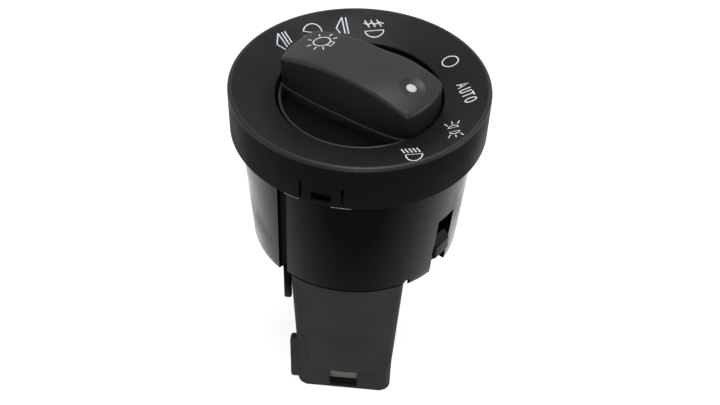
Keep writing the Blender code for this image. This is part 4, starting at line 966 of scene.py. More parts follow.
@dataclass
class FaceBezel:
    """The dished face with its hollow rim, its well and its snap tongues."""

    wall: float = 2.0 * MM
    well_wall: float = 1.6 * MM
    well_foot: float = 91.2 * MM
    slot_width: float = 0.9 * MM
    slot_length: float = 7.0 * MM
    tongue_half_angle: float = 9.0
    window: Point = (5.6 * MM, 2.6 * MM)
    window_rise: float = 3.0 * MM
    # The rim's side gets painted shade below this depth and within this width of its outer face.
    shade_depth: float = 1.7 * MM
    shade_width: float = 1.5 * MM
    # The rim's rounded upper edge gets a painted highlight above this depth and within this width of its outer
    # face.
    highlight_depth: float = 0.8 * MM
    highlight_width: float = 1.4 * MM
    flash_spans: tuple[Point, ...] = ((-117.4, -110.2), (-96.3, -87.8))
    flash_radius: float = 0.1 * MM
    flash_inset: float = 0.16 * MM
    flash_drop: float = 0.04 * MM

    def outline(self) -> list[Point]:
        """The section of the bezel.

        Returns:
            The corners, as (radius, height) points.
        """
        radius, well = LAYOUT.rim_radius, LAYOUT.well_radius
        inner, well_outer = radius - self.wall, well + self.well_wall
        under = self.wall / math.cos(LAYOUT.face_slope())
        return rounded(
            [
                (well, LAYOUT.face_height(well), 0.45 * MM),
                (radius, LAYOUT.face_height(radius), LAYOUT.rim_fillet),
                (radius, LAYOUT.rim_foot, FILLET),
                (inner, LAYOUT.rim_foot, 0.25 * MM),
                (inner, LAYOUT.face_height(inner) - under, 0.8 * MM),
                (well_outer, LAYOUT.face_height(well_outer) - under, 0.8 * MM),
                (well_outer, self.well_foot, FILLET),
                (well, self.well_foot, FILLET),
            ],
            8,
        )

    def build(self, paint: Paintbox) -> None:
        """Builds the bezel and its trimmed edges.

        Args:
            paint: the finishes.
        """
        middle = LAYOUT.rim_radius - self.wall / 2
        cuts = []
        for number, azimuth in enumerate(LAYOUT.tongue_azimuths):
            for side in (-1, 1):
                size = (2 * self.wall, self.slot_width, 2 * self.slot_length)
                turn = azimuth + side * self.tongue_half_angle
                cuts.append(block(f"slot_{number}_{side}", size, (middle, 0.0, LAYOUT.rim_foot), turn))
            spot = (middle, 0.0, LAYOUT.rim_foot + self.window_rise)
            cuts.append(block(f"window_{number}", (2 * self.wall, *self.window), spot, azimuth))
        shell = combined(spun("bezel_shell", self.outline()), cuts, "DIFFERENCE")
        paint.fit(shell, FACE_BLACK, "housing", "face_bezel")
        # Painted shade on the rim's side.
        paint.dress_part(shell, RIM_SHADE_BLACK, self.on_shaded_side)
        # Painted highlight on the rim's rounded upper edge.
        paint.dress_part(shell, EDGE_HIGHLIGHT_BLACK, self.on_highlit_edge)
        radius, height = LAYOUT.rim_radius - self.flash_inset, LAYOUT.rim_foot - self.flash_drop
        for number, (first, last) in enumerate(self.flash_spans, 1):
            points = [polar(radius, first + (last - first) * step / 12, height) for step in range(13)]
            wire = wired(f"trimmed_edge_{number}", [(points, False)], self.flash_radius)
            paint.fit(wire, FLASH_GREY, "housing")

    def on_shaded_side(self, spot: Vector) -> bool:
        """Whether a face's middle lies on the rim's side, where painted shade darkens the black."""
        inside, below = LAYOUT.rim_radius - spot.xy.length, LAYOUT.rim_top - spot.z
        return inside < self.shade_width and below > self.shade_depth

    def on_highlit_edge(self, spot: Vector) -> bool:
        """Whether a face's middle lies on the rim's rounded upper edge, which gets a painted highlight."""
        inside, below = LAYOUT.rim_radius - spot.xy.length, LAYOUT.rim_top - spot.z
        return inside < self.highlight_width and below < self.highlight_depth


@dataclass
class Knob:
    """The turning knob: a dish with a rounded rim, the arched grip across it and the pointer's window."""

    radius: float = 23.7 * MM
    disc_top: float = 102.0 * MM
    pocket_floor: float = 99.4 * MM
    pocket_fillet: float = 1.5 * MM
    pocket_dip: float = 0.25 * MM
    pocket_inset: float = 0.5 * MM
    skirt_foot: float = 93.5 * MM
    wall: float = 1.8 * MM
    bead: float = 0.45 * MM
    rim_width: float = 1.1 * MM
    curb_depth: float = 0.4 * MM
    side_overlap: float = 0.05 * MM
    top_half_width: float = 9.25 * MM
    top_bow: float = 0.5 * MM
    foot_half_width: float = 10.4 * MM
    foot_bow: float = 2.4 * MM
    corner_power: int = 26
    arch_radius: float = 66.0 * MM
    crest: float = 113.9 * MM
    crest_offset: float = -2.5 * MM
    edge: float = 1.1 * MM
    end_flare: float = 1.0 * MM
    end_rise: float = 0.75 * MM
    end_crown: float = 0.85 * MM
    end_share: float = 0.75
    ridge_share: float = 0.62
    dimple_offset: float = 17.0 * MM
    dimple_radius: float = 4.4 * MM
    dimple_depth: float = 0.75 * MM
    slope_step: float = 0.1 * MM
    lens_radius: float = 1.55 * MM
    lens_gap: float = 0.12 * MM
    lens_hole: Point = (-4 * MM, 3 * MM)
    lens_length: float = 3.0 * MM
    lens_crown: float = 0.3 * MM
    lens_shoulder: Triple = (0.9 * MM, 0.24 * MM, 0.6 * MM)
    lens_edge: float = 0.02 * MM
    lamp_spot: Point = (-15.4 * MM, 2.9 * MM)
    around: int = 240

    def arch(self, u: float) -> float:
        """Height of the grip's top at a distance along the grip."""
        bow = math.sqrt(self.arch_radius**2 - (u - self.crest_offset) ** 2)
        return self.crest - self.arch_radius + bow + self.end_rise * self.towards_end(u)

    def towards_end(self, u: float) -> float:
        """How far a distance along the grip has come to the pointer's end, from 0 to 1."""
        share = min(1.0, max(0.0, u / (self.end_share * self.radius)))
        return share * share * (3 - 2 * share)

    def top(self, u: float, n: float) -> float:
        """Height of the grip's top at a point, with its crowned end.

        Args:
            u: the distance along the grip.
            n: the distance across it.

        Returns:
            The height.
        """
        share = self.towards_end(u)
        half = self.top_half_width + self.end_flare * share
        return self.arch(u) + self.end_crown * share * max(0.0, 1 - (n / half) ** 2)

    def outline(self, turn: float, half: float, bow: float, inset: float) -> Vector:
        """A point of the grip's outline, seen from above.

        Args:
            turn: its direction from the axis.
            half: the outline's half width at the middle.
            bow: how much narrower it is at its ends.
            inset: how far inside the outline it lies.

        Returns:
            The point, in X and Y.
        """
        along, across = abs(math.cos(turn)), abs(math.sin(turn))
        reach = self.radius - inset
        for _ in range(4):
            wider = self.end_flare * self.towards_end(reach * math.cos(turn))
            side = half + wider - bow * (reach * along / self.radius) ** 2 - inset
            wide = side / max(across, 1e-6)
            power = self.corner_power
            reach = ((self.radius - inset) ** -power + wide**-power) ** (-1 / power)
        return Vector((reach * math.cos(turn), reach * math.sin(turn), 0.0))

    def directions(self) -> list[float]:
        """Directions from the axis that space the grip's outline evenly, the same on both its sides.

        Returns:
            The directions, as angles in radians.
        """
        fine = [math.pi * step / 4000 for step in range(4001)]
        spots = [self.outline(turn, self.top_half_width, self.top_bow, 0.0) for turn in fine]
        lengths = [0.0]
        for first, second in zip(spots, spots[1:]):
            lengths.append(lengths[-1] + (second - first).length)
        count = self.around // 2
        found, index = [], 0
        for step in range(1, count):
            while lengths[index + 1] < lengths[-1] * step / count:
                index += 1
            found.append(fine[index])
        return [0.0, *found, math.pi, *(-turn for turn in reversed(found))]

    def top_line(self, turns: list[float], inset: float, drop: float) -> list[Vector]:
        """A closed line round the grip's top, some way inside its outline and under its surface."""
        spots = [self.outline(turn, self.top_half_width, self.top_bow, inset) for turn in turns]
        return [Vector((spot.x, spot.y, self.top(spot.x, spot.y) - drop)) for spot in spots]

    def loops(self) -> list[list[Vector]]:
        """The closed lines of the grip, from its foot in the dish to the ridge of its top.

        Returns:
            The lines, each with as many points.
        """
        turns = self.directions()
        curb, under = self.foot_half_width + 2 * self.bead, self.disc_top - self.bead
        levels = [(curb, self.pocket_floor - self.curb_depth), (curb, under)]
        for step in range(1, 7):
            turn = math.radians(30 * step)
            levels.append((curb - self.bead * (1 - math.cos(turn)), under + self.bead * math.sin(turn)))
        levels.append((self.foot_half_width, under - self.side_overlap))
        rows = [
            [self.outline(turn, half, self.foot_bow, 0.0) + Vector((0, 0, height)) for turn in turns]
            for half, height in levels
        ]
        low, high = rows.pop(), self.top_line(turns, 0.0, self.edge)
        rows += [[first.lerp(last, step / 8) for first, last in zip(low, high)] for step in range(9)]
        for step in range(1, 9):
            turn = math.radians(90 * step / 8)
            inset, drop = self.edge * (1 - math.cos(turn)), self.edge * (1 - math.sin(turn))
            rows.append(self.top_line(turns, inset, drop))
        rim = rows[-1]
        for step in range(1, 17):
            share = step / 16
            spots = [(spot.x * (1 - (1 - self.ridge_share) * share), spot.y * (1 - share)) for spot in rim]
            rows.append([Vector((along, across, self.top(along, across))) for along, across in spots])
        return rows

    def build_grip(self) -> Object:
        """The arched grip with its curb, its rounded edges and the pointer's dimple.

        Returns:
            The grip, before it is turned.
        """
        bm = bmesh.new()
        rows = [[bm.verts.new(spot) for spot in row] for row in self.loops()]
        edges = [[bm.edges.new((row[i - 1], row[i])) for i in range(len(row))] for row in rows]
        for lower, upper in zip(edges, edges[1:]):
            bmesh.ops.bridge_loops(bm, edges=lower + upper)
        bm.faces.new(rows[0])
        grip = piece("knob_grip", bm)
        bend = (self.dimple_radius**2 + self.dimple_depth**2) / (2 * self.dimple_depth)
        bm = bmesh.new()
        place = self.at_dimple() @ Matrix.Translation((0.0, 0.0, bend - self.dimple_depth))
        bmesh.ops.create_uvsphere(bm, u_segments=128, v_segments=96, radius=bend, matrix=place)
        dimple = piece("dimple", bm)
        hole = peg("lens_hole", self.lens_radius + self.lens_gap, *self.lens_hole)
        hole.data.transform(self.at_dimple())
        return combined(grip, [dimple, hole], "DIFFERENCE")

    def at_dimple(self) -> Matrix:
        """The place of the dimple on the grip's top, square to its surface there.

        Returns:
            The place, as a matrix.
        """
        u, step = self.dimple_offset, self.slope_step
        fall = math.atan2(self.top(u - step, 0.0) - self.top(u + step, 0.0), 2 * step)
        return Matrix.Translation((u, 0.0, self.top(u, 0.0))) @ Matrix.Rotation(fall, 4, "Y")

    def build_dish(self) -> Object:
        """The round dish under the grip, with its rounded rim and its skirt.

        Returns:
            The dish.
        """
        inner = self.radius - 2 * self.bead
        under = self.pocket_floor - self.wall
        corners = [
            (0.0, self.pocket_floor - self.pocket_dip, 0.0),
            (inner - self.pocket_inset, self.pocket_floor, self.pocket_fillet),
            (inner, self.disc_top, self.bead * 0.98),
            (self.radius, self.disc_top, self.bead * 0.98),
            (self.radius, self.skirt_foot, FILLET),
            (self.radius - self.wall, self.skirt_foot, FILLET),
            (self.radius - self.wall, under, 0.5 * MM),
            (0.0, under, 0.0),
        ]
        return spun("knob_dish", rounded(corners, 8), loop=False)

    def build_window(self) -> Object:
        """The pointer's white window, a low dome on a stem.

        Returns:
            The window, before it is turned.
        """
        foot = -self.dimple_depth
        radius, height, fillet = self.lens_shoulder
        corners = [
            (0.0, foot + self.lens_crown, 0.0),
            (radius, foot + height, fillet),
            (self.lens_radius, foot + self.lens_edge, EDGE_BREAK),
            (self.lens_radius, foot - self.lens_length, FILLET),
            (0.0, foot - self.lens_length, 0.0),
        ]
        window = spun("pointer_window", rounded(corners, 5), loop=False, steps=64)
        window.data.transform(self.at_dimple())
        return window

    def bulb(self) -> Mark:
        """The lamp drawn on the grip: a round bulb, its base towards the pointer and seven rays.

        Returns:
            The mark.
        """
        rays = [
            line_stroke(polar(3.3, azimuth)[:2], polar(4.7, azimuth)[:2])
            for azimuth in (185, 135, 85, 50, 310, 275, 235)
        ]
        base = line_stroke((2.4, -1.05), (3.75, -1.05), (3.75, 1.05), (2.4, 1.05))
        return Mark("mark_bulb", 0.0, 0.0, 0.0, (oval_stroke(0.0, 2.5, 2.5, 36), base, *rays))

    def build(self, paint: Paintbox) -> None:
        """Builds the knob's pieces and turns them to the pointer's place.

        Args:
            paint: the finishes.
        """
        turn = LAYOUT.pointer_azimuth
        dish = paint.fit(turned_to(self.build_dish(), turn), GRIP_BLACK, "knob", "rotary_knob")
        # Painted shade in the dish inside its rim.
        paint.dress_part(dish, RECESS_SHADE_BLACK, lambda spot: spot.xy.length < self.radius - self.rim_width)
        paint.fit(turned_to(self.build_grip(), turn), GRIP_BLACK, "knob")
        paint.fit(turned_to(self.build_window(), turn), LENS_WHITE, "knob", "pointer_lens")
        lamp = printed(self.bulb())
        for vert in lamp.data.vertices:
            along, across = vert.co.x + self.lamp_spot[0], vert.co.y + self.lamp_spot[1]
            vert.co = (along, across, self.arch(along) + vert.co.z)
        paint.fit(turned_to(lamp, turn), INK_WHITE, "knob")


@dataclass
class Barrel:
    """The gloss barrel with its groove, its windows, its catches and its fin."""

    bores: Triple = (30.6 * MM, 32.0 * MM, 33.2 * MM)
    ledges: Point = (74.6 * MM, 86.9 * MM)
    neck_top: float = 98.5 * MM
    wall_heights: tuple[float, ...] = (88 * MM, 80 * MM, 75 * MM, 68 * MM, 60 * MM, 55 * MM)
    groove_azimuth: float = -125.5
    groove_width: float = 3.5 * MM
    groove_depth: float = 1.4 * MM
    groove_lean: float = -4.0
    groove_drop: float = 6.3 * MM
    groove_over: float = 12 * MM
    groove_half_angle: float = 6.0
    groove_faces: Point = (0.2 * MM, 2.0 * MM)
    cut_through: float = 15 * MM
    window_width: float = 7.6 * MM
    window_top: float = 74.4 * MM
    nose_hole: Point = (4.6 * MM, 2.1 * MM)
    notch: Point = (1.4 * MM, 0.8 * MM)
    relief: Point = (-18.65 * MM, 18.4 * MM)
    relief_depth: float = 20 * MM
    relief_height: float = 10 * MM
    catch_inner: float = 34.6 * MM
    catch_outer: float = 36.9 * MM
    catch_foot: float = 94.6 * MM
    catch_top: float = 96.4 * MM
    catch_lip: float = 0.6 * MM
    catch_top_reach: float = 1.0 * MM
    catch_width: float = 4.8 * MM
    fin_size: Triple = (2.4 * MM, 2.2 * MM, 14 * MM)
    fin_left: float = -18.5 * MM
    fin_inset: float = 1.35 * MM
    fin_middle: float = 47.1 * MM

    def outline(self) -> list[Point]:
        """The section of the barrel's wall.

        Returns:
            The corners, as (radius, height) points.
        """
        foot, middle, neck = self.bores
        lower, upper = self.ledges
        end = LAYOUT.barrel_foot - LAYOUT.foot_skirt
        return rounded(
            [
                (LAYOUT.barrel_top_radius, self.neck_top, 0.4 * MM),
                (LAYOUT.barrel_top_radius, LAYOUT.rim_foot, 0.0),
                *((LAYOUT.barrel_radius(height), height, 0.0) for height in self.wall_heights),
                (LAYOUT.barrel_radius(end), end, 0.4 * MM),
                (foot, end, FILLET),
                (foot, lower, 0.0),
                (middle, lower, 0.0),
                (middle, upper, 0.0),
                (neck, upper, 0.0),
                (neck, self.neck_top, FILLET),
            ],
            5,
        )

    def cutters(self) -> list[Object]:
        """The shapes that the windows, the holes, the notch, the relief and the groove take out.

        Returns:
            The shapes, which are used up by the cut.
        """
        radius, foot = LAYOUT.barrel_foot_radius, LAYOUT.barrel_foot
        size = (self.cut_through, self.window_width, 2 * (self.window_top - foot))
        cuts = [
            block(f"lug_window_{number}", size, (radius, 0.0, foot), azimuth, 0.4 * MM)
            for number, azimuth in enumerate(LAYOUT.lug_azimuths)
        ]
        size = (self.cut_through, *self.nose_hole)
        for number, azimuth in enumerate(LAYOUT.nose_azimuths):
            cuts.append(block(f"nose_hole_{number}", size, (radius, 0.0, LAYOUT.plate_middle()), azimuth))
        (width, rise), (left, right) = self.notch, self.relief
        size = (width, self.relief_depth, 2 * rise)
        cuts.append(block("foot_notch", size, (right, -radius, foot), bevel=0.15 * MM))
        size = (right - left, self.relief_depth, self.relief_height)
        cuts.append(block("foot_relief", size, ((left + right) / 2, -radius, foot - self.relief_height / 2)))
        return [*cuts, self.groove_cutter()]

    def groove_cutter(self) -> Object:
        """The shape that the groove takes out: a bar that leans with the barrel's wall.

        Returns:
            The bar.
        """
        height = LAYOUT.rim_foot - LAYOUT.barrel_foot
        lean = math.degrees(math.atan2(LAYOUT.barrel_top_radius - LAYOUT.barrel_foot_radius, height))
        middle = (LAYOUT.barrel_foot + LAYOUT.rim_foot) / 2 - self.groove_drop
        away, length = LAYOUT.barrel_radius(middle) + self.groove_depth, height + self.groove_over
        bm = bmesh.new()
        bmesh.ops.create_cube(bm, size=1.0)
        bmesh.ops.scale(bm, vec=(4 * self.groove_depth, self.groove_width, length), verts=bm.verts)
        rounding(bm, [edge for edge in bm.edges if rise_of(edge) > MM], FILLET)
        swing(bm, self.groove_lean, "X")
        swing(bm, lean, "Y")
        bmesh.ops.translate(bm, vec=(away, 0.0, middle), verts=bm.verts)
        swing(bm, self.groove_azimuth)
        return piece("groove_bar", bm)

    def in_groove(self, spot: Vector) -> bool:
        """Whether a face's middle lies in the groove, which gets painted shade.

        Args:
            spot: the face's middle.

        Returns:
            Whether it does.
        """
        away = abs(math.degrees(math.atan2(spot.y, spot.x)) - self.groove_azimuth)
        least, most = self.groove_faces
        return away < self.groove_half_angle and least < LAYOUT.barrel_radius(spot.z) - spot.xy.length < most

    def build(self, paint: Paintbox) -> None:
        """Builds the barrel, the wedges that the bezel's windows snap over, and the fin at its foot.

        Args:
            paint: the finishes.
        """
        shell = combined(spun("barrel_shell", self.outline()), self.cutters(), "DIFFERENCE")
        paint.fit(shell, BARREL_BLACK, "housing", "barrel_housing")
        # Painted shade in the groove, by the duller black.
        paint.dress_part(shell, RECESS_SHADE_BLACK, self.in_groove)
        wedge = rounded(
            [
                (self.catch_inner, self.catch_foot, 0.0),
                (self.catch_outer, self.catch_foot, EDGE_BREAK),
                (self.catch_outer, self.catch_foot + self.catch_lip, EDGE_BREAK),
                (self.catch_inner + self.catch_top_reach, self.catch_top, FILLET),
                (self.catch_inner, self.catch_top, 0.0),
            ],
            3,
        )
        for number, azimuth in enumerate(LAYOUT.tongue_azimuths, 1):
            catch = stood_up(f"bezel_catch_{number}", wedge, self.catch_width, azimuth, EDGE_BREAK)
            paint.fit(catch, BARREL_BLACK, "housing")
        inset = math.sqrt(LAYOUT.barrel_foot_radius**2 - self.fin_left**2) - self.fin_inset
        fin = block("barrel_fin", self.fin_size, (self.fin_left, -inset, self.fin_middle), bevel=0.6 * MM)
        paint.fit(fin, BARREL_BLACK, "housing")


@dataclass
class Lugs:
    """The two sprung lugs in the barrel's windows."""

    foot: float = 56.7 * MM
    height: float = 9.0 * MM
    inner: float = 28.97 * MM
    width: float = 6.6 * MM
    proud: float = 0.55 * MM
    flange: Point = (0.9 * MM, 10.0 * MM)
    flange_play: float = 0.02 * MM
    foot_slope: Point = (1.4 * MM, 1.6 * MM)
    top_slope: Point = (1.8 * MM, 3.0 * MM)
    slope_round: float = 0.5 * MM

    def outline(self) -> list[Point]:
        """A lug's section, from its back to its sloped nose.

        Returns:
            The points, as (radius, height) pairs.
        """
        outer = LAYOUT.barrel_radius(self.foot + self.height / 2) + self.proud
        top = self.foot + self.height
        (foot_in, foot_up), (top_in, top_down) = self.foot_slope, self.top_slope
        return rounded(
            [
                (self.inner, self.foot, 0.0),
                (outer - foot_in, self.foot, FILLET),
                (outer, self.foot + foot_up, self.slope_round),
                (outer, top - top_down, self.slope_round),
                (outer - top_in, top, 0.4 * MM),
                (self.inner, top, 0.0),
            ],
            4,
        )

    def build(self, paint: Paintbox) -> None:
        """Builds both lugs, each with the flange that keeps it in.

        Args:
            paint: the finishes.
        """
        size = (*self.flange, self.height - self.flange_play)
        spot = (self.inner + size[0] / 2, 0.0, self.foot + self.height / 2)
        for side, azimuth in zip(("front", "back"), LAYOUT.lug_azimuths):
            lug = stood_up(f"{side}_lug", self.outline(), self.width, azimuth, 0.35 * MM)
            flange = block(f"{side}_lug_flange", size, spot, azimuth)
            paint.fit(combined(lug, [flange], "UNION"), LUG_DARK, f"{side}_lug", f"lock_lug_{side}")


@dataclass
class Tower:
    """The rear housing: its plate, the tapered tower with the plug socket, its rib and its latch window."""

    top_half: float = 17.4 * MM
    end_half: float = 15.1 * MM
    front_top: float = 32.5 * MM
    front_end: float = 32.0 * MM
    back_top: float = 6.5 * MM
    back_end: float = 6.0 * MM
    front_corner: float = 3.0 * MM
    back_corner: float = 2.0 * MM
    foot_edge: float = 0.5 * MM
    wall: float = 1.8 * MM
    top: float = 52.1 * MM
    neck: Point = (50 * MM, 55 * MM)
    neck_share: float = 0.9
    plate_radius: float = 30.3 * MM
    facet_y: float = -30.05 * MM
    facet_height: float = 11.3 * MM
    facet_width: float = 80 * MM
    socket_span: Point = (-5 * MM, 46 * MM)
    socket_corner: float = 1.2 * MM
    socket_inset: float = 0.1 * MM
    nose_size: Triple = (3.96 * MM, 4.0 * MM, 1.5 * MM)
    nose_radius: float = 30.2 * MM
    rib_size: Triple = (4.1 * MM, 3.8 * MM, 19.6 * MM)
    rib_centre: Triple = (-16.05 * MM, -26.3 * MM, 10.8 * MM)
    passage_size: Triple = (24 * MM, 16.4 * MM, 20 * MM)
    passage_centre: Triple = (0.0, -13.8 * MM, 54 * MM)
    window_size: Triple = (9.2 * MM, 10 * MM, 10.3 * MM)
    window_foot: float = 0.9 * MM
    tongue_size: Triple = (10.5 * MM, 1.1 * MM, 10.0 * MM)
    tongue_centre: Triple = (0.0, -27.08 * MM, 7.0 * MM)

    def outline(self, half: float, front: float, back: float) -> list[Point]:
        """The tower's section at one height, with as many points at each height.

        Args:
            half: half the section's width.
            front: how far its round front is from the axis.
            back: how far its flat back is from the axis.

        Returns:
            The points, in X and Y.
        """
        corner_x = half - self.front_corner
        corner_y = -math.sqrt((front - self.front_corner) ** 2 - corner_x**2)
        meeting = math.degrees(math.atan2(corner_y, corner_x))
        right = [polar(front, -90 + (meeting + 90) * step / 24) for step in range(25)]
        corner = Vector((corner_x, corner_y, 0.0))
        right += [corner + polar(self.front_corner, meeting * (8 - step) / 8) for step in range(1, 9)]
        corner = Vector((half - self.back_corner, back - self.back_corner, 0.0))
        right += [corner + polar(self.back_corner, 90 * step / 8) for step in range(9)]
        left = [Vector((-spot.x, spot.y, 0.0)) for spot in reversed(right[1:])]
        return [(spot.x, spot.y) for spot in right + left]

    def socket(self, height: float) -> list[Point]:
        """The plug socket's section at a height.

        Args:
            height: the height over the tower's foot.

        Returns:
            The corners, in X and Y.
        """
        half = self.end_half + (self.top_half - self.end_half) * height / LAYOUT.barrel_foot - self.wall
        front, back = self.facet_y + self.wall + self.socket_inset, self.back_end - self.wall
        corners = ((half, back), (-half, back), (-half, front), (half, front))
        return rounded([(*corner, self.socket_corner) for corner in corners], 5)

    @staticmethod
    def lofted(
        name: str, lower: list[Point], upper: list[Point], span: Point, bevel: float = 0.0
    ) -> Object:
        """A solid between two outlines.

        Args:
            name: the piece's name.
            lower: the lower outline.
            upper: the upper outline, with as many points.
            span: their two heights.
            bevel: how far the lower edge is rounded.

        Returns:
            The solid.
        """
        bm = bmesh.new()
        rings = []
        for outline, height in zip((lower, upper), span):
            face = bm.faces.new([bm.verts.new((x, y, height)) for x, y in outline])
            rings.append(list(face.edges))
        bmesh.ops.bridge_loops(bm, edges=rings[0] + rings[1])
        if bevel > 0:
            rounding(bm, rings[0], bevel)
        return piece(name, bm)

    def build(self, paint: Paintbox) -> None:
        """Builds the rear housing and the tip of the block's tongue behind its latch window.

        Args:
            paint: the finishes.
        """
        foot = self.outline(self.end_half, self.front_end, self.back_end)
        head = self.outline(self.top_half, self.front_top, self.back_top)
        neck = [(self.neck_share * x, self.neck_share * y) for x, y in head]
        joins = [
            peg("plate_disc", self.plate_radius, LAYOUT.plate_foot, LAYOUT.plate_top),
            self.lofted("tower_neck", neck, neck, self.neck),
            block("tower_rib", self.rib_size, self.rib_centre, bevel=0.9 * MM),
        ]
        spot = (self.nose_radius, 0.0, LAYOUT.plate_middle())
        for number, azimuth in enumerate(LAYOUT.nose_azimuths):
            joins.append(block(f"snap_nose_{number}", self.nose_size, spot, azimuth))
        shell = self.lofted("tower_shell", foot, head, (0.0, self.top), self.foot_edge)
        shell = combined(shell, joins, "UNION")
        lower, upper = (self.socket(height) for height in self.socket_span)
        _, depth, height = self.window_size
        facet_size = (self.facet_width, depth, 2 * self.facet_height)
        window_centre = (0.0, self.facet_y, self.window_foot + height / 2)
        cuts = [
            self.lofted("socket_hollow", lower, upper, self.socket_span),
            block("wire_passage", self.passage_size, self.passage_centre, bevel=0.0),
            block("front_facet", facet_size, (0.0, self.facet_y - depth / 2, 0.0), bevel=0.0),
            block("latch_window", self.window_size, window_centre, bevel=FILLET),
        ]
        shell = combined(shell, cuts, "DIFFERENCE")
        paint.fit(shell, TOWER_GREY, "housing", "rear_housing")
        tip = block("tongue_tip", self.tongue_size, self.tongue_centre, bevel=FILLET)
        paint.fit(tip, BLOCK_GREY, "housing")


@dataclass
class Springs:
    """The coil springs behind the lugs and under the shaft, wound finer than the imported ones."""

    wire: float = 0.25 * MM
    radius: float = 1.55 * MM
    start: float = 23.97 * MM
    length: float = 4.7 * MM
    height: float = 62.9 * MM
    turns: float = 3.5
    shortest: float = 0.47
    push_radius: float = 3.3 * MM
    push_turns: float = 6.0
    push_ends: float = 0.5 * MM

    def coil(self, radius: float, foot: float, top: float, turns: float) -> list[Vector]:
        """The middle line of a coil round the axis that fits between two heights.

        Args:
            radius: the coil's radius.
            foot: where it starts.
            top: where it ends.
            turns: how often it winds.

        Returns:
            The points of the line.
        """
        count = round(36 * turns)
        low, high = foot + self.wire, top - self.wire
        return [polar(radius, 10 * index, low + (high - low) * index / count) for index in range(count + 1)]

    def build(self, paint: Paintbox) -> None:
        """Winds the lugs' springs and the spring under the shaft.

        Args:
            paint: the finishes.
        """
        for side, azimuth in zip(("front", "back"), LAYOUT.lug_azimuths):
            line = self.coil(self.radius, self.start, self.start + self.length, self.turns)
            lying = [Vector((spot.z, spot.x, self.height + spot.y)) for spot in line]
            spring = turned_to(wired(f"{side}_lug_spring", [(lying, False)], self.wire), azimuth)
            paint.fit(spring, STEEL, "housing", f"lug_spring_{side}")
            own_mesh(spring)
        self.build_push_spring(paint)

    def build_push_spring(self, paint: Paintbox) -> None:
        """Winds the spring under the shaft.

        Args:
            paint: the finishes.
        """
        heights = [vert.co.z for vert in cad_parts["push_spring"].data.vertices]
        foot, top = min(heights), max(heights)
        line = self.coil(self.push_radius, foot, top, self.push_turns)
        spring = paint.dress(wired("push_spring_coil", [(line, False)], self.wire), STEEL)
        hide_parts("push_spring")
        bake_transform(spring)


@dataclass
class PackedNodes:
    """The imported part's own nodes that stay in view, each with a finish by how its name starts."""

    finishes: tuple[tuple[Finish, tuple[str, ...]], ...] = (
        (INNER_WHITE, ("bearing_plate", "face_led", "fog_carriage", "knob_shaft", "turn_rotor")),
        (BOARD, ("circuit_board", "face_led_board")),
        (BLOCK_GREY, ("contact_plate", "terminal_block")),
        (COPPER, ("contact_track", "fog_contact", "fog_wiper", "wiper")),
        (STEEL, ("detent_spring", "retaining_clip")),
        (MILKY_RING, ("face_light_guide",)),
        (TINNED, ("terminal",)),
    )

    def build(self, paint: Paintbox) -> None:
        """Gives each node that is still shown its finish.

        Args:
            paint: the finishes.
        """
        starts = {start: finish for finish, names in self.finishes for start in names}
        for name, node in sorted(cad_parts.items()):
            if not node.hide_render:
                start = max((key for key in starts if name.startswith(key)), key=len)
                paint.dress(node, starts[start])
        LOG.info("packed nodes dressed")


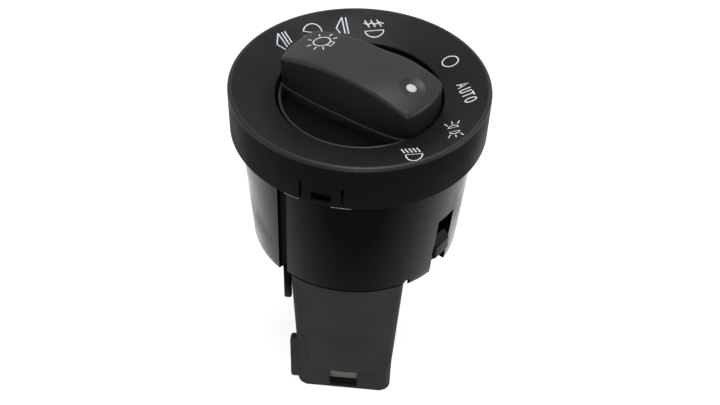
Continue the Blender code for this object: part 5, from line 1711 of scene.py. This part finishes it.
@dataclass
class Studio:
    """The white studio: floor, surroundings, soft lamps and the camera."""

    focal: float = 1000.0
    distance: float = 288.59 * MM
    elevation: float = 0.649
    centre: Point = (360.26, 80.72)
    roll: float = 0.037
    turn: float = 3.9
    frame_size: Point = (720.0, 405.0)
    floor_drop: float = 0.5 * MM
    floor_grey: float = 0.25
    floor_glow: float = 0.9
    # Middle and half size of the painted shadow under the tower.
    shade_y: float = -12.0 * MM
    shade_half: Point = (14.5 * MM, 17.3 * MM)
    world_light: float = 0.13
    aim: Triple = (0.0, 0.0, 80 * MM)
    lamps: tuple[tuple[str, Triple, float, float], ...] = (
        ("lamp_above", (0.06, 0.24, 0.85), 0.34, 4.6),
        ("lamp_right", (0.6, 0.0, 0.3), 0.4, 1.3),
        ("lamp_left", (-0.6, -0.15, 0.3), 0.4, 0.7),
        ("lamp_front", (0.08, -0.2, 0.9), 0.2, 3.0),
        ("lamp_low", (0.05, -0.55, 0.12), 0.3, 1.3),
    )

    def build(self) -> None:
        """Builds the whole studio."""
        self.build_floor()
        self.build_world()
        self.build_lamps()
        self.build_camera()
        bpy.context.scene.view_settings.view_transform = "Standard"

    @staticmethod
    def background_share(tree: NodeTree) -> NodeSocket:
        """A mask that is 1 for the camera, for reflections and through clear plastic.

        Args:
            tree: the node tree.

        Returns:
            The output that holds the mask.
        """
        path = shader_node(tree, "LightPath", {}).outputs
        seen = maths(tree, "MAXIMUM", path["Is Camera Ray"], path["Is Glossy Ray"])
        return maths(tree, "MAXIMUM", seen, path["Is Transmission Ray"])

    def outside_painted_shadow(self, tree: NodeTree) -> NodeSocket:
        """A mask that is 0 on the floor that the tower stands over, and 1 round it: a painted shadow, where
        the floor loses its glow.

        Args:
            tree: the node tree.

        Returns:
            The output that holds the mask.
        """
        wide, deep = self.shade_half
        place = shader_node(tree, "TexCoord", {}).outputs["Object"]
        shifted = maths(tree, "ADD", place, (0.0, -self.shade_y, 0.0), kind="VectorMath")
        sized = maths(tree, "MULTIPLY", shifted, (1 / wide, 1 / deep, 0.0), kind="VectorMath")
        away = maths(tree, "ABSOLUTE", sized, kind="VectorMath")
        parts = shader_node(tree, "SeparateXYZ", {0: away}).outputs
        return ranged(tree, maths(tree, "MAXIMUM", parts["X"], parts["Y"]), from_min=0.97, from_max=1.0)

    def build_floor(self) -> None:
        """The floor: white to the camera, still darker where the switch shades it, and with a painted shadow
        under the tower, where its glow is taken away.
        """
        bm = bmesh.new()
        bmesh.ops.create_grid(bm, x_segments=1, y_segments=1, size=2.0)
        bmesh.ops.translate(bm, vec=(0, 0, -self.floor_drop), verts=bm.verts)
        floor = piece("studio_floor", bm)
        material = bpy.data.materials.new("studio_white")
        material.use_nodes = True
        tree = material.node_tree
        glow = maths(tree, "MULTIPLY", self.background_share(tree), self.floor_glow)
        inputs = {
            "Base Color": (self.floor_grey, self.floor_grey, self.floor_grey, 1.0),
            "Roughness": 0.9,
            "Specular IOR Level": 0.0,
            "Emission Color": WHITE,
            # The glow is taken away under the tower: a painted shadow.
            "Emission Strength": maths(tree, "MULTIPLY", glow, self.outside_painted_shadow(tree)),
        }
        filled(tree, tree.nodes["Principled BSDF"], inputs)
        floor.data.materials.append(material)

    def build_world(self) -> None:
        """The surroundings: white behind the switch and in its reflections, and a softer light on it."""
        world = bpy.data.worlds.new("studio_world")
        world.use_nodes = True
        bpy.context.scene.world = world
        tree = world.node_tree
        level = ranged(tree, self.background_share(tree), to_min=self.world_light, to_max=1.0)
        filled(tree, tree.nodes["Background"], {"Color": WHITE, "Strength": level})

    def build_lamps(self) -> None:
        """The soft lamps: above, at both sides, in front and low in front."""
        for name, place, size, watts in self.lamps:
            lamp = bpy.data.lights.new(name, "AREA")
            lamp.energy = watts
            lamp.size = size
            obj = placed(name, lamp)
            obj.location = place
            obj.rotation_euler = (Vector(self.aim) - Vector(place)).to_track_quat("-Z", "Y").to_euler()

    def build_camera(self) -> None:
        """The camera, at the photograph's place and angle, by the fit to the switch's circles."""
        tilt = self.elevation
        place = self.distance * Vector((0.0, -math.cos(tilt), math.sin(tilt)))
        ahead = -place.normalized()
        right = Vector((1.0, 0.0, 0.0))
        up = right.cross(ahead)
        cos, sin = math.cos(self.roll), math.sin(self.roll)
        rows = Matrix((cos * right + sin * up, -sin * right + cos * up, ahead))
        wide, high = self.frame_size
        across, down = self.centre[0] - wide / 2, self.centre[1] - high / 2
        ray = Vector((across / self.focal, -down / self.focal, 1.0))
        seen = Vector((0.0, 0.0, 1.0)).rotation_difference(ray.normalized()).to_matrix() @ rows
        turn = Matrix.Rotation(math.radians(self.turn), 3, "Z")
        axes = [turn @ seen[0], turn @ seen[1], -(turn @ seen[2])]
        camera = bpy.data.cameras.new("photo_camera")
        camera.sensor_width = 36.0
        camera.lens = self.focal * camera.sensor_width / wide
        camera.clip_start, camera.clip_end = 0.01, 10.0
        obj = placed("photo_camera", camera)
        spot = turn @ place + Vector((0.0, 0.0, LAYOUT.rim_top))
        obj.matrix_world = Matrix.Translation(spot) @ Matrix(axes).transposed().to_4x4()
        bpy.context.scene.camera = obj


def main() -> None:
    """Builds the sub-assemblies in order, then the studio; each new piece's face count goes to the log."""
    logging.basicConfig(level=logging.INFO, format="%(message)s")
    paint = Paintbox()
    FaceBezel().build(paint)
    FaceMarks().build(paint)
    Knob().build(paint)
    Barrel().build(paint)
    Lugs().build(paint)
    Springs().build(paint)
    Tower().build(paint)
    PackedNodes().build(paint)
    Studio().build()


if __name__ == "__main__":
    main()
